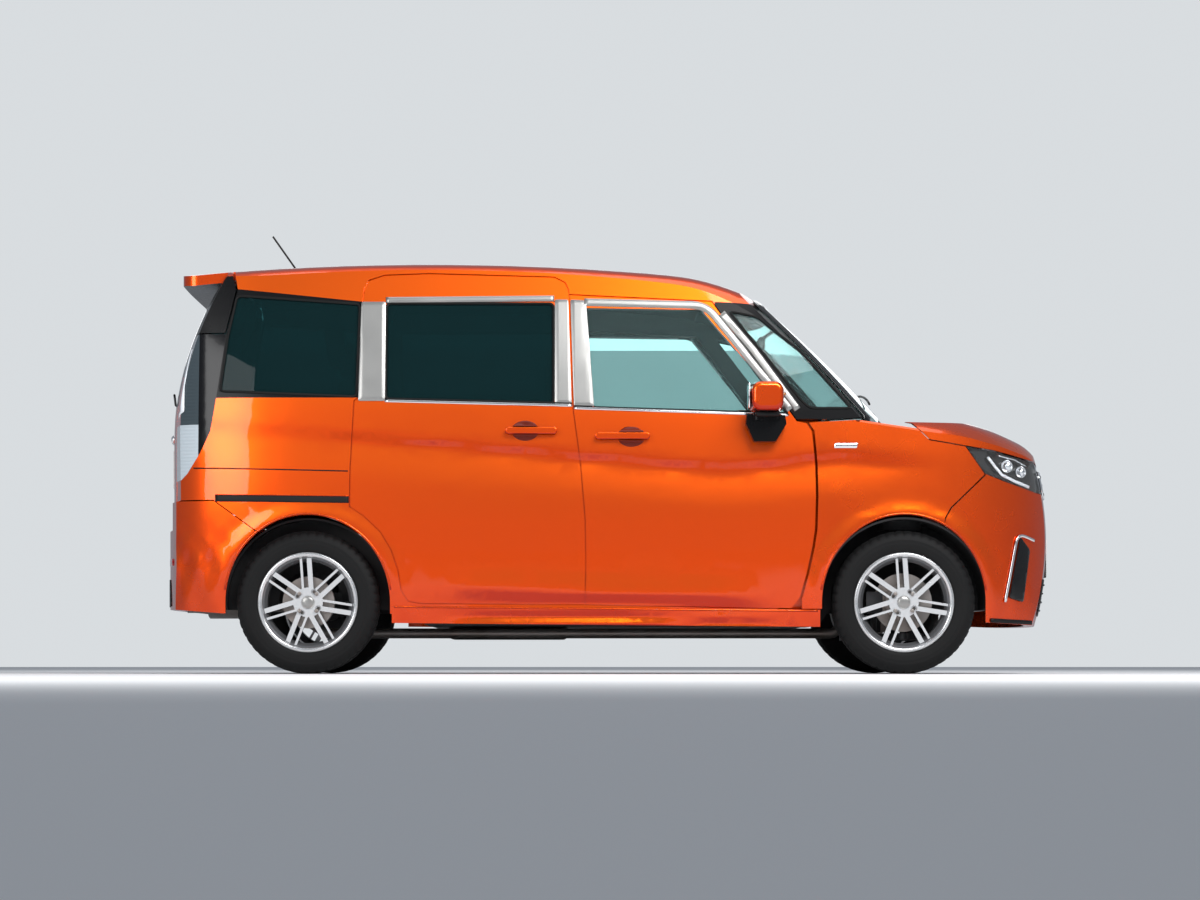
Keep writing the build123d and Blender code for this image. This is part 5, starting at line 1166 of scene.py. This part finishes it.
def make_tail():
    """Blank rear plate, tailgate handle bar, black lower valance, reflectors, light guides and wiper."""
    place = end_place(Skin(["rear_bumper", "tailgate", "tailgate_glass", "tail_lamps"]), -1)
    plate = patch("rear_plate", rounded(mirrored([(PLATE_HALF, 0.80), (PLATE_HALF, 0.965)]), 0.008), 0.004,
                  MATERIALS["plate"], place, 0.03, lift=0.003)
    put(plate, "tailgate_lid")
    bar = ribbon("tailgate_garnish", [(-0.30, 1.005), (0.30, 1.005)], 0.036, 0.012, MATERIALS["chrome"],
                 place, spacing=0.03, across=7)
    put(bar, "tailgate_lid")
    valance = patch("rear_valance", rounded(mirrored([(0.52, 0.285), (0.46, 0.40)]), 0.03), 0.002,
                    MATERIALS["black"], place, 0.04)
    put(valance, "body")
    for side, sign in SIDES:
        outline = rounded([(sign * y, z) for y, z in REFLECTOR], 0.006)
        reflector = patch(f"rear_reflector_{side}", outline, 0.003, MATERIALS["red"], place, 0.02)
        put(reflector, "body")
        path = [(sign * y, z) for y, z in TAIL_GUIDE]
        guide = ribbon(f"tail_light_guide_{side}", path, 0.012, 0.003, MATERIALS["lamp_white"], place)
        put(guide, "body")
    wiper = tube("rear_wiper", [place(0.0, 1.165, 0.012), place(-0.02, 1.172, 0.022),
                                place(-0.24, 1.20, 0.018)], 0.005, MATERIALS["black"], 8, 0.03)
    put(wiper, "tailgate_lid")


SCREEN_FOOT = (1.085, 0.735)
SCREEN_HEAD = (0.612, 0.606)
HEAD_BAND = [(0.622, -0.595), (0.668, -0.31), (0.690, 0), (0.668, 0.31), (0.622, 0.595)]
# Windscreen wipers: (y of the pivot, y of the tip).
WIPERS = ((-0.45, 0.12), (0.22, 0.60))
WIPER_RADIUS = 0.005


def top_place(skin, forward):
    """Places a (x, y, out) point on the top, moved forward by a share of how far it stands off."""
    return lambda x, y, out: Vector((x + out * forward, y, skin.top(x, y) + out))


def make_screen_surround():
    """Black painted border along the windscreen's edges and across its head."""
    skin = Skin(["windscreen", "side_frames", "roof_panel"])
    black = MATERIALS["gloss_black"]
    for side, sign in SIDES:
        foot = Vector((SCREEN_FOOT[0], sign * SCREEN_FOOT[1]))
        head = Vector((SCREEN_HEAD[0], sign * SCREEN_HEAD[1]))
        path = [foot.lerp(head, step / 24) for step in range(25)]
        edge = ribbon(f"screen_edge_{side}", path, 0.052, 0.004, black, top_place(skin, 0.6), across=7)
        put(edge, "body")
    put(ribbon("screen_head", HEAD_BAND, 0.036, 0.0015, black, top_place(skin, 0)), "body")


def make_windscreen_wipers():
    """Two wiper arms resting low on the windscreen."""
    skin = Skin(["windscreen", "cowl", "bonnet"])
    for index, (start_y, end_y) in enumerate(WIPERS):
        points = []
        for step in range(12):
            share = step / 11
            y = start_y + (end_y - start_y) * share
            x = 1.150 - 0.055 * sin(pi * share * 0.5) - 0.10 * (y / 0.7) ** 2
            points.append(Vector((x, y, skin.top(x, y) + 0.012)))
        put(tube(f"wiper_{index}", points, WIPER_RADIUS, MATERIALS["black"], 8, 0.03), "body")


# ---------------------------------------------------------------- cabin
CHANNEL_DEPTH = 0.010
CHANNEL_WIDTH = 0.06
BACK_LEAN = radians(-19.8)
HEAD_LEAN = radians(-10)
FRONT_SEAT_SET_BACK = 1.260
REAR_SEAT_SET_AHEAD = 0.285


def cushion(name, low, high, material, crown, channels=()):
    """Crowned pad whose sides pull in between its corners, with sewn channels across it."""
    middle = (Vector(low) + Vector(high)) / 2
    size = Vector(high) - Vector(low)
    steps = (14, 16, 5)
    bm = bmesh.new()
    bmesh.ops.create_cube(bm, size=2)
    for axis in range(3):
        for step in range(1, steps[axis]):
            cut_across(bm, axis, -1 + 2 * step / steps[axis])
    for vertex in bm.verts:
        u, v, w = vertex.co
        round_u = (1 - abs(u) ** 6 * 0.06) * (1 - abs(v) ** 8 * 0.03)
        round_v = 1 - abs(u) ** 8 * 0.04 - 0.05 * abs(w) ** 2 * (1 - abs(u))
        swell = 1 + crown / size.z * 2 * (1 - u * u) * (1 - v * v) * abs(w)
        edge = 1 - 0.22 * max(abs(u), abs(v)) ** 10
        groove = 0
        if w > 0.9:
            groove = sum(CHANNEL_DEPTH * max(0, 1 - abs(v - channel) / CHANNEL_WIDTH) for channel in channels)
        vertex.co = Vector((u * round_u * size.x / 2, v * round_v * size.y / 2,
                            w * edge * size.z / 2 * min(swell, 1.35) - groove))
    bmesh.ops.transform(bm, matrix=Matrix.Translation(middle), verts=bm.verts[:])
    obj = new_object(name, bm, material)
    modifier = obj.modifiers.new("Smooth", "SUBSURF")
    modifier.levels = 1
    modifier.render_levels = 1
    return obj


def make_back(prefix, x, z, centre_y, half):
    """Leaning back of a seat between its two bolsters."""
    back = cushion(f"{prefix}_back", (-0.055, -half + 0.06, -0.29), (0.055, half - 0.06, 0.29),
                   MATERIALS["cloth"], 0.012)
    bolsters = [cushion(f"{prefix}_back_bolster_{k}", (-0.06, edge * (half - 0.04) - 0.038, -0.28),
                        (0.068, edge * (half - 0.04) + 0.038, 0.27), MATERIALS["cloth_bolster"], 0.008)
                for k, edge in enumerate((-1, 1))]
    turn = Matrix.Rotation(BACK_LEAN, 4, "Y")
    for obj in [back] + bolsters:
        obj.data.transform(Matrix.Translation((x - 0.045, centre_y, z + 0.575)) @ turn)
    return [back] + bolsters


def make_head(prefix, index, x, z, centre_y):
    """Head restraint on two posts."""
    head = cushion(f"{prefix}_head_{index}", (-0.045, -0.115, -0.078), (0.045, 0.115, 0.078),
                   MATERIALS["cloth"], 0.01)
    turn = Matrix.Rotation(HEAD_LEAN, 4, "Y")
    head.data.transform(Matrix.Translation((x - 0.188, centre_y, z + 0.990)) @ turn)
    posts = [tube("post", [(x - 0.183, centre_y + reach, z + 0.84), (x - 0.188, centre_y + reach, z + 0.94)],
                  0.006, MATERIALS["chrome"], 10) for reach in (-0.06, 0.06)]
    put(join(f"{prefix}_posts_{index}", posts), "body")
    return head


def make_seat(prefix, x, z, centre_y, width, heads, replaced):
    """One seat on the CAD seat's own lines: cushion, bolsters, back, head restraints and base."""
    half = width / 2
    made = [cushion(f"{prefix}_cushion", (x + 0.02, centre_y - half + 0.07, z + 0.185),
                    (x + 0.490, centre_y + half - 0.07, z + 0.300), MATERIALS["cloth"], 0.018, (-0.4, 0.4))]
    made += make_back(prefix, x, z, centre_y, half)
    for k, edge in enumerate((-1, 1)):
        y = centre_y + edge * (half - 0.04)
        made.append(cushion(f"{prefix}_cushion_bolster_{k}", (x + 0.03, y - 0.036, z + 0.18),
                            (x + 0.46, y + 0.036, z + 0.312), MATERIALS["cloth_bolster"], 0.008))
    made += [make_head(prefix, k, x, z, centre_y + offset) for k, offset in enumerate(heads)]
    base = slab(f"{prefix}_base", (x + 0.10, centre_y - half + 0.05, z + 0.001),
                (x + 0.43, centre_y + half - 0.05, z + 0.19), MATERIALS["cabin"], 0.02)
    put(base, "body")
    for obj in made:
        put(obj, "body")
    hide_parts(*replaced)


def make_seats():
    """Front and rear seats in woven cloth."""
    front_x = FRONT_X - FRONT_SEAT_SET_BACK
    rear_x = REAR_X + REAR_SEAT_SET_AHEAD
    for prefix, x, z, centre_y, width, head, replaced in (
            ("driver_seat", front_x, 0.25, -0.365, 0.48, 0.0, ("front_seats",)),
            ("passenger_seat", front_x, 0.25, 0.365, 0.48, 0.0, ()),
            ("bench_right", rear_x, 0.40, -0.295, 0.585, -0.085, ("rear_seats",)),
            ("bench_left", rear_x, 0.40, 0.295, 0.585, 0.085, ())):
        make_seat(prefix, x, z, centre_y, width, (head,), replaced)


HEADLINER_MIDDLE_X = -0.52
HEADLINER_HALF_LENGTH = 1.02
HEADLINER_HALF_WIDTH = 0.60
HEADLINER_DROP = 0.052


def make_headliner():
    """Felt shell a little below the roof."""
    roof = Skin(["roof_panel", "side_frames"])
    bm = bmesh.new()
    bmesh.ops.create_grid(bm, x_segments=30, y_segments=16, size=1)
    for vertex in bm.verts:
        x = HEADLINER_MIDDLE_X + vertex.co.x * HEADLINER_HALF_LENGTH
        y = vertex.co.y * HEADLINER_HALF_WIDTH
        vertex.co = Vector((x, y, roof.top(x, y) - HEADLINER_DROP))
    shell = new_object("headliner", bm, MATERIALS["headliner"])
    solid = shell.modifiers.new("Thickness", "SOLIDIFY")
    solid.thickness = 0.006
    put(shell, "body")


def make_cabin():
    """Headliner, instrument display, centre display, visors and inner mirror."""
    make_headliner()
    dials = slab("instrument_display", (0.612, -0.47, 0.985), (0.619, -0.27, 1.040), MATERIALS["gloss_black"],
                 0.003)
    put(dials, "body")
    screen = slab("centre_display", (0.648, -0.122, 0.936), (0.655, 0.122, 1.064), MATERIALS["gloss_black"],
                  0.003)
    put(screen, "body")
    for side, sign in SIDES:
        visor = slab(f"sun_visor_{side}", (0.40, sign * 0.37 - 0.17, 1.585),
                     (0.53, sign * 0.37 + 0.17, 1.603), MATERIALS["headliner"], 0.007)
        put(visor, "body")
    inner = slab("inner_mirror", (0.655, -0.115, 1.405), (0.685, 0.115, 1.465), MATERIALS["cabin"], 0.012)
    put(inner, "body")
    stem = tube("inner_mirror_stem", [(0.675, 0, 1.46), (0.73, 0, 1.502)], 0.008, MATERIALS["cabin"])
    put(stem, "body")


# ---------------------------------------------------------------- add-on
class MinivanSettings(bpy.types.PropertyGroup):
    """Sizes and colours that change the dressing."""

    paint: bpy.props.FloatVectorProperty(
        name="Paint", description="Colour of the body paint",
        subtype="COLOR", size=3, min=0, max=1, default=(1.0, 0.088, 0.0004))
    silver: bpy.props.FloatVectorProperty(
        name="Silver", description="Colour of the satin door frames",
        subtype="COLOR", size=3, min=0, max=1, default=(0.40, 0.395, 0.38))
    glass: bpy.props.FloatVectorProperty(
        name="Glass", description="Tint of the clear glass",
        subtype="COLOR", size=3, min=0, max=1, default=(0.50, 0.70, 0.69))
    moulding: bpy.props.FloatProperty(
        name="Belt moulding", description="Width of the bright belt moulding",
        default=0.013, min=0.004, max=0.04, unit="LENGTH")
    seal: bpy.props.FloatProperty(
        name="Window seal", description="Width of the rubber round the fixed windows",
        default=0.010, min=0.003, max=0.03, unit="LENGTH")
    groove: bpy.props.FloatProperty(
        name="Tread groove", description="Depth of the grooves round the tyres",
        default=0.0075, min=0.002, max=0.009, unit="LENGTH")


class MINIVAN_OT_stage(bpy.types.Operator):
    """Floor, lamps and camera"""

    bl_idname = "minivan.stage"
    bl_label = "Stage"

    def execute(self, context):
        make_stage()
        return {"FINISHED"}


class MINIVAN_OT_materials(bpy.types.Operator):
    """All finishes"""

    bl_idname = "minivan.materials"
    bl_label = "Materials"

    def execute(self, context):
        make_materials()
        return {"FINISHED"}


class MINIVAN_OT_nodes(bpy.types.Operator):
    """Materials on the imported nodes"""

    bl_idname = "minivan.nodes"
    bl_label = "Finish nodes"

    def execute(self, context):
        finish_nodes()
        return {"FINISHED"}


class MINIVAN_OT_wheels(bpy.types.Operator):
    """Tyres, nuts and caps"""

    bl_idname = "minivan.wheels"
    bl_label = "Wheels"

    def execute(self, context):
        make_wheels()
        return {"FINISHED"}


class MINIVAN_OT_silver(bpy.types.Operator):
    """Door frames in satin silver"""

    bl_idname = "minivan.silver"
    bl_label = "Silver frames"

    def execute(self, context):
        make_silver_frames()
        return {"FINISHED"}


class MINIVAN_OT_belt(bpy.types.Operator):
    """Bright mouldings and their seals"""

    bl_idname = "minivan.belt"
    bl_label = "Belt mouldings"

    def execute(self, context):
        make_belt_mouldings()
        return {"FINISHED"}


class MINIVAN_OT_seals(bpy.types.Operator):
    """Rubber round the windows"""

    bl_idname = "minivan.seals"
    bl_label = "Window seals"

    def execute(self, context):
        make_window_seals()
        return {"FINISHED"}


class MINIVAN_OT_trim(bpy.types.Operator):
    """Rails, seams and edges of the body side"""

    bl_idname = "minivan.trim"
    bl_label = "Body trim"

    def execute(self, context):
        make_body_trim()
        return {"FINISHED"}


class MINIVAN_OT_cup_shades(bpy.types.Operator):
    """Painted shade in the finger cups of the door handles"""

    bl_idname = "minivan.cups"
    bl_label = "Handle cups"

    def execute(self, context):
        make_handle_cup_shades()
        return {"FINISHED"}


class MINIVAN_OT_mirrors(bpy.types.Operator):
    """Mirror glass, repeaters and feet"""

    bl_idname = "minivan.mirrors"
    bl_label = "Mirrors"

    def execute(self, context):
        make_mirrors()
        return {"FINISHED"}


class MINIVAN_OT_headlamps(bpy.types.Operator):
    """Covers, light guides and projectors"""

    bl_idname = "minivan.headlamps"
    bl_label = "Headlamps"

    def execute(self, context):
        make_headlamps()
        return {"FINISHED"}


class MINIVAN_OT_front(bpy.types.Operator):
    """Grille, intake and garnishes"""

    bl_idname = "minivan.front"
    bl_label = "Front"

    def execute(self, context):
        make_front()
        return {"FINISHED"}


class MINIVAN_OT_tail(bpy.types.Operator):
    """Plate, garnish, valance and wiper"""

    bl_idname = "minivan.tail"
    bl_label = "Tail"

    def execute(self, context):
        make_tail()
        return {"FINISHED"}


class MINIVAN_OT_surround(bpy.types.Operator):
    """Black edge of the windscreen"""

    bl_idname = "minivan.surround"
    bl_label = "Windscreen surround"

    def execute(self, context):
        make_screen_surround()
        return {"FINISHED"}


class MINIVAN_OT_wipers(bpy.types.Operator):
    """Windscreen wipers"""

    bl_idname = "minivan.wipers"
    bl_label = "Wipers"

    def execute(self, context):
        make_windscreen_wipers()
        return {"FINISHED"}


class MINIVAN_OT_seats(bpy.types.Operator):
    """Padded seats"""

    bl_idname = "minivan.seats"
    bl_label = "Seats"

    def execute(self, context):
        make_seats()
        return {"FINISHED"}


class MINIVAN_OT_cabin(bpy.types.Operator):
    """Headliner, visors and inner mirror"""

    bl_idname = "minivan.cabin"
    bl_label = "Cabin"

    def execute(self, context):
        make_cabin()
        return {"FINISHED"}


OPERATORS = (MINIVAN_OT_stage, MINIVAN_OT_materials, MINIVAN_OT_nodes, MINIVAN_OT_wheels,
             MINIVAN_OT_silver, MINIVAN_OT_belt, MINIVAN_OT_seals, MINIVAN_OT_trim,
             MINIVAN_OT_cup_shades, MINIVAN_OT_mirrors, MINIVAN_OT_headlamps, MINIVAN_OT_front, MINIVAN_OT_tail,
             MINIVAN_OT_surround, MINIVAN_OT_wipers, MINIVAN_OT_seats, MINIVAN_OT_cabin)


class MINIVAN_PT_panel(bpy.types.Panel):
    """Sidebar panel with one button per group."""

    bl_label = "Minivan"
    bl_idname = "MINIVAN_PT_panel"
    bl_space_type = "VIEW_3D"
    bl_region_type = "UI"
    bl_category = "Minivan"

    def draw(self, context):
        for name in ("paint", "silver", "glass", "moulding", "seal", "groove"):
            self.layout.prop(context.scene.minivan, name)
        for made in OPERATORS:
            self.layout.operator(made.bl_idname)


CLASSES = [MinivanSettings, *OPERATORS, MINIVAN_PT_panel]


def register():
    for made in CLASSES:
        bpy.utils.register_class(made)
    bpy.types.Scene.minivan = bpy.props.PointerProperty(type=MinivanSettings)


def unregister():
    del bpy.types.Scene.minivan
    for made in reversed(CLASSES):
        bpy.utils.unregister_class(made)


def main():
    """Builds everything in order."""
    register()
    for made in OPERATORS:
        getattr(bpy.ops.minivan, made.bl_idname.split(".")[1])()


if __name__ == "__main__":
    main()
